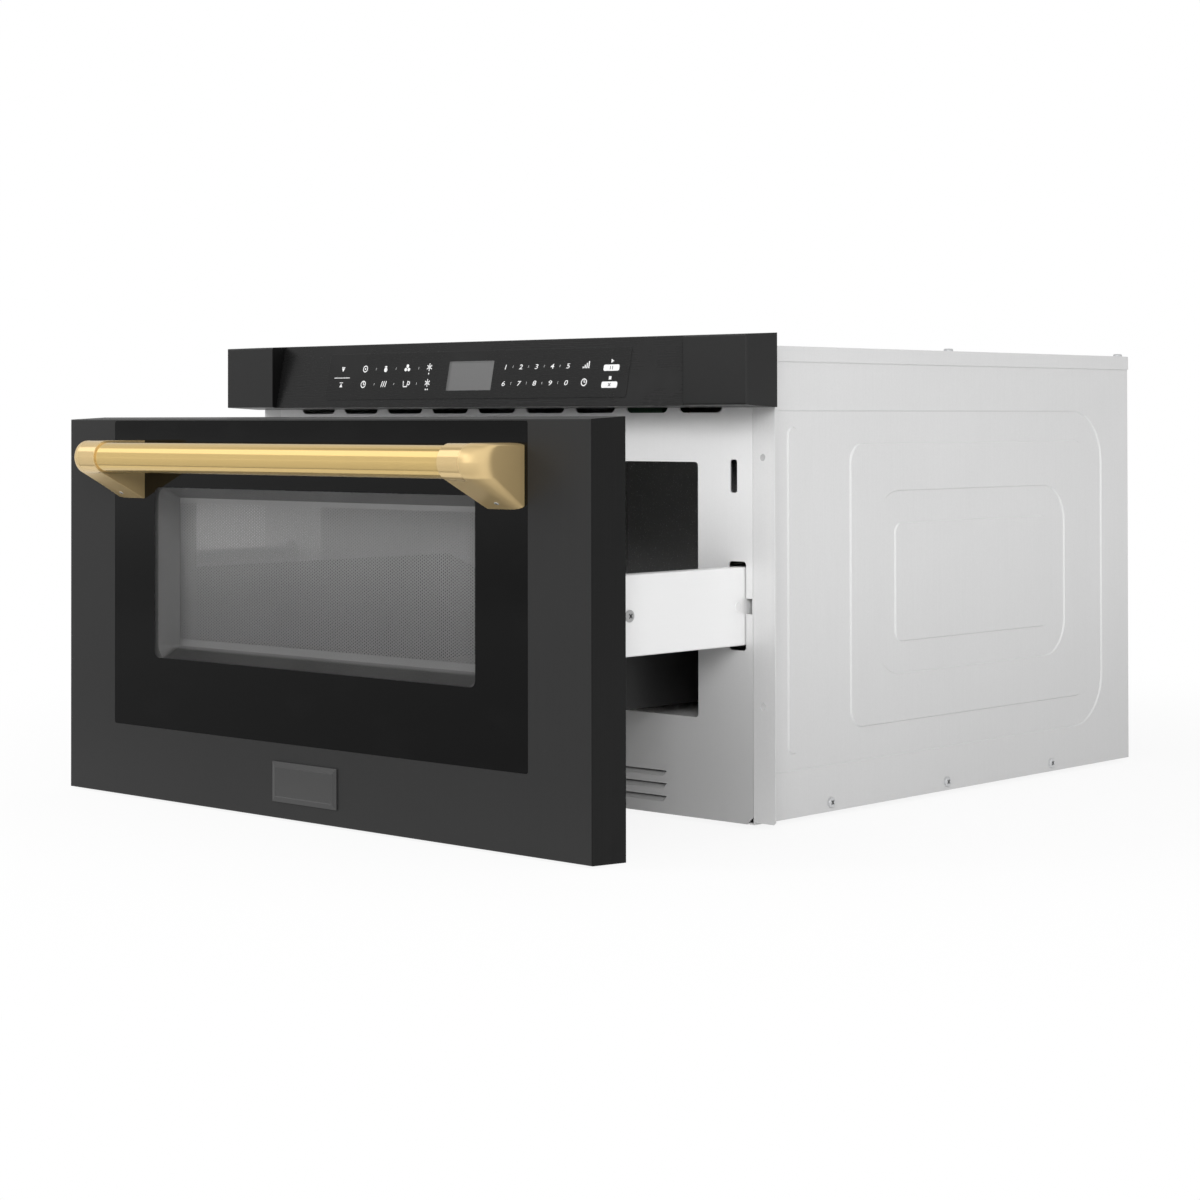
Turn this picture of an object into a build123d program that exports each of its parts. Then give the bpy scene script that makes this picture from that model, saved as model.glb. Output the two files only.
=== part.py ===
"""Built-in microwave drawer, drawn partly open.

Millimetres, +Z up, +Y to the back, the door faces -Y. The origin is the centre of the chassis
base's underside. Depths named ..._Y in the list below count from the front plate's face, and
become model depths once FRONT is added.
"""
import os
from math import acos, atan2, cos, pi, radians, sin, tan

from build123d import *

os.makedirs("parts", exist_ok=True)

# ---------------------------------------------------------------- driving dimensions

# chassis box
BODY_W = 554.2
BODY_H = 368.4
BODY_D = 545.6
SHEET = 1.0                 # side, top and back sheet
FRONT_T = 1.2               # front plate and base plate
RETURN = 14.0               # folded edges
COVER_LIP = 12.0            # top cover's side lips
PLATE_CORNER = 6.0          # cut corners at the front plate's foot
BEND_R = 0.8

# mounting flange, screwed to the cabinet's front
FLANGE_W = 20.9
FLANGE_FOOT = 2.0
FLANGE_HOLE_R = 2.75
FLANGE_HOLE_X = 286.0
FLANGE_HOLE_LOW = 91.5
FLANGE_HOLE_PITCH = 190.5

# oven cavity
CAVITY_W = 442.6
CAVITY_LOW = 78.5
CAVITY_H = 199.5
CAVITY_D = 412.0
CAVITY_T = 1.0
CAVITY_R = 3.0
CAVITY_LIP = 10.0

# exhaust slots under the control panel, intake louvres at the foot
EXHAUST_COUNT = 9
EXHAUST_PITCH = 56.0
EXHAUST_L = 44.0
EXHAUST_H = 10.0
EXHAUST_Z = 321.5
LOUVRE_L = 110.0
LOUVRE_H = 4.6
LOUVRE_PITCH = 10.0
LOUVRE_Z = 21.6
LOUVRE_COLUMN = 133.5
LOUVRE_SLANT = 4.0          # the slot's foot is this much shorter at each end
LOUVRE_BLADE = 3.4          # the blade behind each slot reaches this far back and up

# side panel embossing: depths, heights and corner radii of the nested steps, outermost first
EMBOSS = 1.2
EMBOSS_ANGLE = 45.0
STEPS = (
    dict(y0=25.0, y1=BODY_D - 44.9, z0=36.1, z1=BODY_H - 49.9, front_r=6.0, rear_r=46.0),
    dict(y0=123.4, y1=BODY_D - 72.6, z0=63.0, z1=BODY_H - 76.3, front_r=16.0, rear_r=16.0),
    dict(y0=156.7, y1=BODY_D - 106.6, z0=102.0, z1=BODY_H - 115.1, front_r=33.0, rear_r=33.0),
    dict(y0=183.8, y1=BODY_D - 134.2, z0=128.5, z1=BODY_H - 141.8, front_r=9.0, rear_r=9.0),
)
RIB = dict(y0=42.8, y1=56.4, z0=49.5, z1=BODY_H - 62.9, front_r=6.7, rear_r=6.7)

# chassis screws
SCREW_R = 2.0
SCREW_L = 8.0
HEAD_R = 4.0
HEAD_H = 2.2
SCREW_FIT = 0.1
SIDE_SCREW_Y = 96.2
SIDE_SCREW_PITCH = 159.5
SIDE_SCREW_Z = 7.3
TOP_SCREW_IN = 5.6          # from the side panel's face
TOP_SCREW_Y = 268.0
TOP_SCREW_PITCH = 270.0
BACK_SCREW_LOW = 40.0
BACK_SCREW_PITCH = 145.0

# back panel's air slots
VENT_L = 40.0
VENT_H = 5.0
VENT_PITCH = 12.0
VENT_ROWS = 7
VENT_COLUMNS = 2

# door
DOOR_W = 606.4
DOOR_T = 36.0
DOOR_Z0 = -3.5
DOOR_Z1 = 313.7
FLARE = 1.8                 # the front face is this much shorter at the top and at the bottom
FACE_OUT = 40.2             # closed door and control panel: front face to chassis front
OPEN = 172.1                # how far the drawer is drawn out here
SKIN = 1.2
GLASS_T = 4.0
GLASS_W = 482.0
GLASS_Z0 = 57.4
GLASS_FIT = 0.2
GLASS_R = 2.0
WINDOW_W = 375.4
WINDOW_Z0 = 115.3
WINDOW_H = 140.5
WINDOW_R = 6.0
SCREEN_IN = 19.5            # screen behind the door's face
SCREEN_T = 0.8
SCREEN_EDGE = 10.0
FUNNEL_T = 1.5
FUNNEL_R = 10.0
FUNNEL_ANGLE = 30.0
BEZEL_EDGE = 24.0
BEZEL_RIM = 4.0
INNER_T = 1.0
COLLAR_IN = 9.0             # inner opening is this much smaller than the window on each side
COLLAR_T = 1.2
INNER_PANE_T = 1.5

# microwave choke round the cavity opening
CHOKE_GAP = 4.7
CHOKE_W = 22.0
CHOKE_D = 17.0
CHOKE_T = 1.0
CHOKE_COVER_OUT = 1.5
CHOKE_COVER_T = 2.5
FINGER_PITCH = 24.0
FINGER_SLOT = 4.0
FINGER_DEPTH = 10.0

# handle
HANDLE_W = 476.0
BRACKET_W = 37.0
NOSE_OUT = 38.6             # nose centre before the door's face
NOSE_R = 13.7
NOSE_Z = 281.0
BRACKET_FOOT_Z = 246.5
BRACKET_FOOT_D = 3.0
BRACKET_R = 13.7             # outer front corner, seen from above
BRACKET_EDGE_R = 1.5
BAR_R = 12.2
BAR_FIT = 0.05
BAR_SOCKET = 18.0
BOLT_R = 3.0
BOLT_FIT = 0.2
BOLT_HEAD_R = 5.5
BOLT_HEAD_H = 3.5
BOLT_IN = 14.0
BOLT_Z = 272.0
BOLT_PITCH = 20.0

# control panel
PANEL_W = 606.4
PANEL_Z0 = 320.5
PANEL_Z1 = 377.3
PANEL_T = 36.9
CAP_W = 62.9
RECESS_LOW = 4.0            # touch glass behind the end caps, at its foot and at its top
RECESS_TOP = 15.0
PANEL_SHELL = 2.5
PANEL_EDGE_R = 1.5
TOUCH_T = 2.0
PANEL_BACK_T = 1.5
SPACER_R = 6.0
SPACER_X = 200.0
BOARD_T = 1.6
BOARD_W = 300.0
BOARD_H = 36.0
BOARD_GAP = 7.0
POST_R = 3.0
DISPLAY_W = 52.6
DISPLAY_H = 24.2
DISPLAY_T = 4.0

# drawer rails and telescopic slides
RAIL_X = 268.4              # outer face of the web
RAIL_Z = 167.4
RAIL_H = 60.2
RAIL_W = 12.0
RAIL_T = 1.5
RAIL_R = 1.4
RAIL_L = 500.0
RAIL_TAB = 18.0
RAIL_SLOT_IN = 4.1          # slot past the rail, towards the middle
RAIL_SLOT_OUT = 1.2
RAIL_SLOT_UP = 4.2
RAIL_SLOT_R = 3.0
NOTCH_H = 12.0
NOTCH_W = 6.0
SLIDE_T = 1.2
SLIDE_GAP = 0.4
SLIDE_STACK = 10.1          # slide mount's face to the rail's web
INNER_H = 30.0
INNER_START = 8.0
INNER_L = 470.0
OUTER_START = 4.0
OUTER_L = 500.0
MIDDLE_START = 8.0
MIDDLE_L = 420.0
MOUNT_T = 1.5
MOUNT_H = 44.0
MOUNT_TAB = 17.0
RIVET_R = 2.4
RIVET_HEAD_R = 3.6
RIVET_HEAD_H = 0.4           # set nearly flush
RIVET_OFFSETS = (167.9, 300.0, 440.0)
RAIL_SCREW_OFFSET = 42.4
RAIL_SCREW_HEAD_R = 4.5
RAIL_SCREW_HEAD_H = 1.8

# drawer drive
MODULE = 1.25
PINION_TEETH = 16
PRESSURE_ANGLE = 20.0
BACKLASH = 0.3
RACK_ADDENDUM = 0.9
DEDENDUM = 1.25
RACK_H = 5.0
RACK_BACK = 5.2
RACK_IN = 5.1               # rack's back from the rail's web
RACK_START = 82.0
RACK_TEETH = 103
PINION_Y = 90.0
PINION_H = 4.2
PINION_RISE = 0.4
DRIVE_SHAFT_R = 3.0
SHAFT_FIT = 0.06
SHAFT_DEPTH = 18.0
GEARBOX_W = 26.0
GEARBOX_D = 44.0
GEARBOX_H = 30.0
GEARBOX_TOP = 134.0
GEARBOX_R = 3.0
MOTOR_R = 12.0
MOTOR_L = 50.0
BRACKET_T = 1.5

# drawer bin
BIN_W = 380.0
BIN_D = 398.3
BIN_Z0 = 86.0
BIN_Z1 = 188.0
BIN_REAR_Z = 149.0
BIN_SLOPE = 94.0
BIN_T = 1.2
BIN_LIP = 12.0
BIN_TAB = 10.0
TRAY_T = 4.5
TRAY_GAP = 0.3
TRAY_R = 6.0

# interlocks
LATCH_X = 257.4
LATCH_Z = 267.4
LATCH_SLOT_W = 7.0
LATCH_SLOT_H = 25.7
LATCH_SLOT_R = 2.0
LATCH_T = 4.0
LATCH_H = 18.0
LATCH_L = 28.0
LATCH_FOOT = 12.0
LATCH_FOOT_T = 1.5
SWITCH_GAP = 0.4
SWITCH_W = 13.0
SWITCH_L = 28.0
SWITCH_H = 9.0
SWITCH_BRACKET_L = 60.0
SWITCH_BRACKET_H = 40.0

# microwave feed
WELL_R = 100.0
WELL_FLOOR_R = 88.0
WELL_LIP = 16.0
WELL_Z = 50.0
WELL_T = 1.0
COVER_R = 104.5
COVER_T = 2.0
GUIDE_W = 92.0
GUIDE_H = 30.0
GUIDE_T = 1.0
GUIDE_REACH = 60.0          # waveguide before the stirrer's axis
GUIDE_END = 522.0
FEED_R = 16.0
STIR_R = 78.0
STIR_HUB_R = 18.0
STIR_Z = 60.0
STIR_T = 1.2
STIR_VANES = 4
STIR_VANE_W = 34.0
STIR_TAB_H = 8.0
STIR_SHAFT_R = 3.0
STIR_MOTOR_R = 24.5
STIR_MOTOR_H = 16.0
STIR_BORE = 12.0
TUBE_Y = 476.0
YOKE_W = 95.0
YOKE_D = 78.0
YOKE_H = 72.0
YOKE_T = 2.0
MAGNET_R = 27.0
MAGNET_H = 12.0
ANODE_R = 20.0
STEM_R = 9.0
STEM_FIT = 2.0
ANTENNA_L = 24.0
FIN_COUNT = 6
FIN_T = 0.8
FIN_W = 84.0
FIN_FIT = 0.1
FILTER_W = 62.0
FILTER_D = 52.0
FILTER_H = 28.0
FILTER_PIN_Y = 5.2

# power supply
CORE_X = -192.0
CORE_W = 104.0
CORE_H = 86.0
CORE_D = 52.0
CORE_LIMB = 26.0
CORE_YOKE = 13.0
CORE_FOOT = 2.0
CORE_FOOT_W = 126.0
CORE_FOOT_D = 44.0
COIL_FIT = 0.3
COIL_OUT = 19.0
COIL_GAP = 3.0
COIL_R = 8.0
CAN_X = 170.0
CAN_Y = 470.0
CAN_L = 98.0
CAN_W = 52.0
CAN_H = 34.0
TERMINAL_W = 6.3
TERMINAL_L = 12.0
TERMINAL_T = 0.8
RELAY_X = 140.0
RELAY_Y = 110.0
RELAY_W = 160.0
RELAY_D = 100.0
RELAY_RISE = 11.0
RELAY_BOX = (22.0, 16.0, 20.0)
CHOKE_BOX = (42.0, 34.0, 30.0)
SMOOTHER_R = 6.0
SMOOTHER_H = 18.0
NOISE_X = 215.0
NOISE_Z = BODY_H - 83.4
NOISE_W = 70.0
NOISE_H = 64.0
NOISE_RISE = 10.0
CORD_X = 215.0
CORD_Z = 215.0
CORD_R = 4.2
BUSHING_R = 9.0
BUSHING_FLANGE_R = 13.0
BUSHING_FLANGE_T = 3.0
BUSHING_EDGE = 1.0

# cooling fan, its axis along X
FAN_X = -78.0
FAN_Z = 112.0
FAN_R = 50.0
FAN_RING = 3.0
FAN_PLATE = 118.0
FAN_PLATE_T = 2.0
FAN_DEPTH = 20.0
FAN_HUB_R = 13.0
FAN_TIP = 2.5               # blade tip to ring
FAN_BLADES = 5
FAN_BLADE_T = 1.6
FAN_CHORD = 20.0
FAN_TWIST = (52.0, 30.0)
FAN_SHAFT_R = 2.5
FAN_ARMS = 4
FAN_ARM_W = 8.0
FAN_BOSS_R = 18.0
FAN_LEG_W = 16.0
FAN_MOTOR_R = 24.0
FAN_MOTOR_L = 30.0

# lamp and thermal cut-outs
LAMP_Y = 200.0
LAMP_Z = 240.0
LAMP_HOLE_R = 13.0
LAMP_CAN_R = 18.0
LAMP_CAN_L = 25.0
LAMP_FLANGE = 6.0
LAMP_WALL = 1.0
BULB_R = 10.0
SOCKET_R = 7.0
CUTOUT_X = 110.0
CUTOUT_Y = 300.0
CUTOUT_R = 8.5
CUTOUT_H = 9.0

# ---------------------------------------------------------------- derived places

FRONT = -BODY_D / 2
BACK = BODY_D / 2
SIDE = BODY_W / 2
INSIDE = SIDE - SHEET
ROOF = BODY_H - SHEET
DOOR_Y = FRONT - FACE_OUT - OPEN
DOOR_BACK = DOOR_Y + DOOR_T
CAVITY_MID_Z = CAVITY_LOW + CAVITY_H / 2
CAVITY_TOP = CAVITY_LOW + CAVITY_H + CAVITY_T
WINDOW_MID_Z = WINDOW_Z0 + WINDOW_H / 2
GLASS_Z1 = DOOR_Z1 - FLARE - SKIN - GLASS_FIT
GLASS_MID_Z = (GLASS_Z0 + GLASS_Z1) / 2
RAIL_IN = RAIL_X - RAIL_T
RAIL_SLOT_X = (RAIL_X - RAIL_W - RAIL_SLOT_IN, RAIL_X + RAIL_SLOT_OUT)
WELL_Y = FRONT + CAVITY_D / 2
GUIDE_TOP = WELL_Z - WELL_T
GUIDE_LOW = GUIDE_TOP - GUIDE_H
MAGNETRON_Y = FRONT + TUBE_Y
SIDE_SCREWS = [FRONT + SIDE_SCREW_Y + i * SIDE_SCREW_PITCH for i in range(3)]
TOP_SCREWS = [FRONT + TOP_SCREW_Y + i * TOP_SCREW_PITCH for i in range(2)]
BACK_SCREWS = [BACK_SCREW_LOW + i * BACK_SCREW_PITCH for i in range(3)]
FLANGE_HOLE_MID = FLANGE_HOLE_LOW + FLANGE_HOLE_PITCH / 2


def wall_plane(y):
    """Plane at depth y seen from the front: local x is +X, local y is +Z, its normal is -Y."""
    return Plane(origin=(0, y, 0), x_dir=(1, 0, 0), z_dir=(0, -1, 0))


def side_plane(x):
    """Plane at x seen from the right: local x is +Y, local y is +Z, its normal is +X."""
    return Plane(origin=(x, 0, 0), x_dir=(0, 1, 0), z_dir=(1, 0, 0))


def block(x, y, z, mode=Mode.ADD):
    """Plate or fold between pairs of limits."""
    with Locations(((x[0] + x[1]) / 2, (y[0] + y[1]) / 2, (z[0] + z[1]) / 2)):
        Box(x[1] - x[0], y[1] - y[0], z[1] - z[0], mode=mode)


def rod(start, axis, radius, length, mode=Mode.ADD):
    """Cylinder from a point along an axis."""
    with Locations(Plane(origin=start, z_dir=axis)):
        Cylinder(radius, length, align=(Align.CENTER, Align.CENTER, Align.MIN), mode=mode)


def rectangle(plane, centre, size, radius=0.0):
    """Rectangle on a plane, its corners rounded where a radius is given."""
    with BuildSketch(plane) as outline:
        with Locations(centre):
            if radius:
                RectangleRounded(*size, radius)
            else:
                Rectangle(*size)
    return outline.sketch


def channel(web, tip, height, thickness, y0, y1):
    """C-section running along Y, its web's back at x = web and its flanges' tips at x = tip."""
    wall = thickness if tip > web else -thickness
    with BuildSketch(wall_plane(y1)) as section:
        with Locations(((web + tip) / 2, RAIL_Z)):
            Rectangle(abs(tip - web), height)
        with Locations(((web + wall + tip) / 2, RAIL_Z)):
            Rectangle(abs(tip - web - wall), height - 2 * thickness, mode=Mode.SUBTRACT)
    extrude(section.sketch, amount=y1 - y0)


def head_screw(radius, length, head_radius, head_height):
    """Screw pointing down -Z, the underside of its head at z = 0."""
    with BuildPart() as screw:
        Cylinder(head_radius, head_height, align=(Align.CENTER, Align.CENTER, Align.MIN))
        chamfer(screw.edges().group_by(Axis.Z)[-1], head_height * 0.35)
        Cylinder(radius, length, align=(Align.CENTER, Align.CENTER, Align.MAX))
    return screw.part


# ---------------------------------------------------------------- chassis sheet metal

with BuildPart() as front_plate:
    with BuildSketch(wall_plane(FRONT + FRONT_T)) as outline:
        with Locations((0, ROOF / 2)):
            Rectangle(2 * INSIDE, ROOF)
        chamfer(outline.vertices().group_by(Axis.Y)[0], PLATE_CORNER)
        with Locations((0, CAVITY_MID_Z)):
            RectangleRounded(CAVITY_W, CAVITY_H, CAVITY_R, mode=Mode.SUBTRACT)
        with Locations((0, EXHAUST_Z)):
            with GridLocations(EXHAUST_PITCH, EXHAUST_H, EXHAUST_COUNT, 1):
                SlotOverall(EXHAUST_L, EXHAUST_H, mode=Mode.SUBTRACT)
        with Locations((0, LOUVRE_Z)):
            with GridLocations(LOUVRE_COLUMN, LOUVRE_PITCH, 3, 3):
                Polygon(
                    (-LOUVRE_L / 2, LOUVRE_H / 2),
                    (LOUVRE_SLANT - LOUVRE_L / 2, -LOUVRE_H / 2),
                    (LOUVRE_L / 2 - LOUVRE_SLANT, -LOUVRE_H / 2),
                    (LOUVRE_L / 2, LOUVRE_H / 2),
                    align=None,
                    mode=Mode.SUBTRACT,
                )
        for side in (-1, 1):
            with Locations((side * sum(RAIL_SLOT_X) / 2, RAIL_Z)):
                slot_w = RAIL_SLOT_X[1] - RAIL_SLOT_X[0]
                RectangleRounded(slot_w, RAIL_H + 2 * RAIL_SLOT_UP, RAIL_SLOT_R, mode=Mode.SUBTRACT)
            with Locations((side * RAIL_SLOT_X[1], RAIL_Z)):
                Rectangle(2 * NOTCH_W, NOTCH_H, mode=Mode.SUBTRACT)
            with Locations((side * LATCH_X, LATCH_Z)):
                RectangleRounded(LATCH_SLOT_W, LATCH_SLOT_H, LATCH_SLOT_R, mode=Mode.SUBTRACT)
    extrude(amount=FRONT_T)
    for column in (-1, 0, 1):
        for row in (-1, 0, 1):
            # a blade rises inwards from the slot's foot
            foot = LOUVRE_Z + row * LOUVRE_PITCH - LOUVRE_H / 2
            with BuildSketch(side_plane(column * LOUVRE_COLUMN - LOUVRE_L / 2)):
                with BuildLine():
                    Polyline(
                        (FRONT, foot),
                        (FRONT + FRONT_T, foot - FRONT_T),
                        (FRONT + FRONT_T + LOUVRE_BLADE, foot - FRONT_T + LOUVRE_BLADE),
                        (FRONT + LOUVRE_BLADE, foot + LOUVRE_BLADE),
                        close=True,
                    )
                make_face()
            extrude(amount=LOUVRE_L)

with BuildPart() as side_panel_right:
    block((INSIDE, SIDE), (FRONT, BACK - SHEET), (0, ROOF))
    with BuildSketch(wall_plane(FRONT + SHEET)) as flange:
        with Locations(((SIDE + SIDE + FLANGE_W) / 2, (FLANGE_FOOT + ROOF) / 2)):
            Rectangle(FLANGE_W, ROOF - FLANGE_FOOT)
        chamfer(flange.vertices().group_by(Axis.X)[-1].sort_by(Axis.Y)[0], FLANGE_FOOT)
        with Locations((FLANGE_HOLE_X, FLANGE_HOLE_MID)):
            with GridLocations(FLANGE_W, FLANGE_HOLE_PITCH, 1, 2):
                Circle(FLANGE_HOLE_R, mode=Mode.SUBTRACT)
    extrude(amount=SHEET)
    fillet(side_panel_right.edges().filter_by(Axis.Z).group_by(Axis.Y)[0].sort_by(Axis.X)[0], BEND_R)
    for level, step in enumerate((*STEPS, RIB)):
        recessed = level in (0, 2)
        outer = SIDE if recessed else SIDE - EMBOSS
        depth = -EMBOSS if recessed else EMBOSS
        faces = []
        for x in (outer, outer - SHEET):
            centre = (FRONT + (step["y0"] + step["y1"]) / 2, (step["z0"] + step["z1"]) / 2)
            with BuildSketch(side_plane(x), mode=Mode.PRIVATE) as outline:
                with Locations(centre):
                    Rectangle(step["y1"] - step["y0"], step["z1"] - step["z0"])
                fillet(outline.vertices().group_by(Axis.X)[0], step["front_r"])
                fillet(outline.vertices().group_by(Axis.X)[-1], step["rear_r"])
            faces.append(outline.sketch)
        skin, back = faces
        added, cut = (back, skin) if recessed else (skin, back)
        extrude(added, amount=depth, taper=EMBOSS_ANGLE)
        extrude(cut, amount=depth, taper=EMBOSS_ANGLE, mode=Mode.SUBTRACT)
    block((INSIDE - RETURN, INSIDE), (FRONT + RETURN, BACK - SHEET), (ROOF - SHEET, ROOF))
    block((INSIDE - RETURN, INSIDE), (BACK - 2 * SHEET, BACK - SHEET), (RETURN + SHEET, ROOF - RETURN))
    for y in SIDE_SCREWS:
        rod((INSIDE, y, SIDE_SCREW_Z), (1, 0, 0), SCREW_R + SCREW_FIT, SHEET, mode=Mode.SUBTRACT)
    for y in TOP_SCREWS:
        rod((SIDE - TOP_SCREW_IN, y, ROOF - SHEET), (0, 0, 1), SCREW_R + SCREW_FIT, SHEET, mode=Mode.SUBTRACT)
    for z in BACK_SCREWS:
        screw_hole = (SIDE - TOP_SCREW_IN, BACK - 2 * SHEET, z)
        rod(screw_hole, (0, 1, 0), SCREW_R + SCREW_FIT, SHEET, mode=Mode.SUBTRACT)

with BuildPart() as side_panel_left:
    mirror(side_panel_right.part, about=Plane.YZ)

with BuildPart() as top_cover:
    block((-SIDE - SHEET, SIDE + SHEET), (FRONT, BACK), (ROOF, BODY_H))
    for side in (-1, 1):
        lip = sorted((side * SIDE, side * (SIDE + SHEET)))
        block(lip, (FRONT + RETURN, BACK), (BODY_H - COVER_LIP, BODY_H))
        for y in TOP_SCREWS:
            screw_hole = (side * (SIDE - TOP_SCREW_IN), y, ROOF)
            rod(screw_hole, (0, 0, 1), SCREW_R + SCREW_FIT, SHEET, mode=Mode.SUBTRACT)
    fillet(top_cover.edges().filter_by(Axis.Y).group_by(Axis.Z)[-1], BEND_R)

with BuildPart() as back_panel:
    with BuildSketch(wall_plane(BACK)):
        with Locations((0, ROOF / 2)):
            Rectangle(2 * SIDE, ROOF)
        with Locations((FAN_X * 2, FAN_Z)):
            with GridLocations(VENT_L * 1.25, VENT_PITCH, VENT_COLUMNS, VENT_ROWS):
                SlotOverall(VENT_L, VENT_H, mode=Mode.SUBTRACT)
        with Locations((CORD_X, CORD_Z)):
            Circle(BUSHING_R, mode=Mode.SUBTRACT)
        with Locations((0, BACK_SCREWS[1])):
            with GridLocations(2 * (SIDE - TOP_SCREW_IN), BACK_SCREW_PITCH, 2, 3):
                Circle(SCREW_R + SCREW_FIT, mode=Mode.SUBTRACT)
    extrude(amount=SHEET)

with BuildPart() as base_plate:
    block((-INSIDE, INSIDE), (FRONT + FRONT_T, BACK - SHEET), (0, FRONT_T))
    for side in (-1, 1):
        fold = sorted((side * (INSIDE - FRONT_T), side * INSIDE))
        block(fold, (FRONT + RETURN, BACK - RETURN), (0, RETURN))
        for y in SIDE_SCREWS:
            start = (side * (INSIDE - FRONT_T), y, SIDE_SCREW_Z)
            rod(start, (side, 0, 0), SCREW_R + SCREW_FIT, FRONT_T, mode=Mode.SUBTRACT)
    with BuildSketch(Plane.XY):
        with Locations((FAN_X * 2, WELL_Y)):
            with GridLocations(VENT_L * 1.25, VENT_PITCH, VENT_COLUMNS, VENT_ROWS):
                SlotOverall(VENT_L, VENT_H)
    extrude(amount=FRONT_T, mode=Mode.SUBTRACT)

chassis_screw = head_screw(SCREW_R, SCREW_L, HEAD_R, HEAD_H)
with BuildPart() as chassis_screws:
    for side in (-1, 1):
        for y in SIDE_SCREWS:
            with Locations(Plane(origin=(side * SIDE, y, SIDE_SCREW_Z), z_dir=(side, 0, 0))):
                add(chassis_screw)
        for y in TOP_SCREWS:
            with Locations(Plane(origin=(side * (SIDE - TOP_SCREW_IN), y, BODY_H), z_dir=(0, 0, 1))):
                add(chassis_screw)
        for z in BACK_SCREWS:
            with Locations(Plane(origin=(side * (SIDE - TOP_SCREW_IN), BACK, z), z_dir=(0, 1, 0))):
                add(chassis_screw)

# ---------------------------------------------------------------- oven cavity and microwave feed

with BuildPart() as cavity_liner:
    outer_size = (CAVITY_W + 2 * CAVITY_T, CAVITY_H + 2 * CAVITY_T)
    lip_size = (CAVITY_W + 2 * CAVITY_LIP, CAVITY_H + 2 * CAVITY_LIP)
    middle = (0, CAVITY_MID_Z)
    tube = rectangle(wall_plane(FRONT + CAVITY_D + CAVITY_T), middle, outer_size, CAVITY_R + CAVITY_T)
    extrude(tube, amount=CAVITY_D + CAVITY_T - FRONT_T)
    lip = rectangle(wall_plane(FRONT + FRONT_T + CAVITY_T), middle, lip_size, CAVITY_R + CAVITY_LIP)
    extrude(lip, amount=CAVITY_T)
    hollow = rectangle(wall_plane(FRONT + CAVITY_D), middle, (CAVITY_W, CAVITY_H), CAVITY_R)
    extrude(hollow, amount=CAVITY_D, mode=Mode.SUBTRACT)
    rod((0, WELL_Y, CAVITY_LOW - CAVITY_T), (0, 0, 1), WELL_R, CAVITY_T, mode=Mode.SUBTRACT)
    lamp_hole = (-CAVITY_W / 2 - CAVITY_T, FRONT + LAMP_Y, LAMP_Z)
    rod(lamp_hole, (1, 0, 0), LAMP_HOLE_R, CAVITY_T, mode=Mode.SUBTRACT)

with BuildPart() as stirrer_well:
    with BuildSketch(wall_plane(WELL_Y)):
        with BuildLine():
            Polyline(
                (FEED_R, GUIDE_TOP),
                (WELL_FLOOR_R + WELL_T, GUIDE_TOP),
                (WELL_R + WELL_T, CAVITY_LOW - CAVITY_T - WELL_T),
                (WELL_R + WELL_LIP, CAVITY_LOW - CAVITY_T - WELL_T),
                (WELL_R + WELL_LIP, CAVITY_LOW - CAVITY_T),
                (WELL_R, CAVITY_LOW - CAVITY_T),
                (WELL_FLOOR_R, WELL_Z),
                (FEED_R, WELL_Z),
                close=True,
            )
        make_face()
    revolve(axis=Axis((0, WELL_Y, 0), (0, 0, 1)))

with BuildPart() as stirrer_cover:
    rod((0, WELL_Y, CAVITY_LOW), (0, 0, 1), COVER_R, COVER_T)
    chamfer(stirrer_cover.edges().group_by(Axis.Z)[-1], COVER_T / 3)

with BuildPart() as waveguide:
    guide_y = (WELL_Y - GUIDE_REACH, FRONT + GUIDE_END)
    block((-GUIDE_W / 2, GUIDE_W / 2), guide_y, (GUIDE_LOW, GUIDE_TOP))
    fillet(waveguide.edges().filter_by(Axis.Z), GUIDE_T * 3)
    block(
        (GUIDE_T - GUIDE_W / 2, GUIDE_W / 2 - GUIDE_T),
        (guide_y[0] + GUIDE_T, guide_y[1] - GUIDE_T),
        (GUIDE_LOW + GUIDE_T, GUIDE_TOP - GUIDE_T),
        mode=Mode.SUBTRACT,
    )
    rod((0, WELL_Y, GUIDE_TOP - GUIDE_T), (0, 0, 1), FEED_R, GUIDE_T, mode=Mode.SUBTRACT)
    rod((0, WELL_Y, GUIDE_LOW), (0, 0, 1), STIR_SHAFT_R + STEM_FIT, GUIDE_T, mode=Mode.SUBTRACT)
    rod((0, MAGNETRON_Y, GUIDE_TOP - GUIDE_T), (0, 0, 1), STEM_R + STEM_FIT, GUIDE_T, mode=Mode.SUBTRACT)

MOTOR_TOP = FRONT_T + STIR_MOTOR_H
with BuildPart() as stirrer_motor:
    rod((0, WELL_Y, FRONT_T), (0, 0, 1), STIR_MOTOR_R, STIR_MOTOR_H)
    chamfer(stirrer_motor.edges().group_by(Axis.Z)[-1], SHEET)
    block((-STIR_MOTOR_R - HEAD_R * 2, STIR_MOTOR_R + HEAD_R * 2), (WELL_Y - HEAD_R, WELL_Y + HEAD_R),
          (FRONT_T, FRONT_T + SHEET))
    bore_foot = (0, WELL_Y, MOTOR_TOP - STIR_BORE)
    rod(bore_foot, (0, 0, 1), STIR_SHAFT_R + SHAFT_FIT, STIR_BORE, mode=Mode.SUBTRACT)

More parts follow.
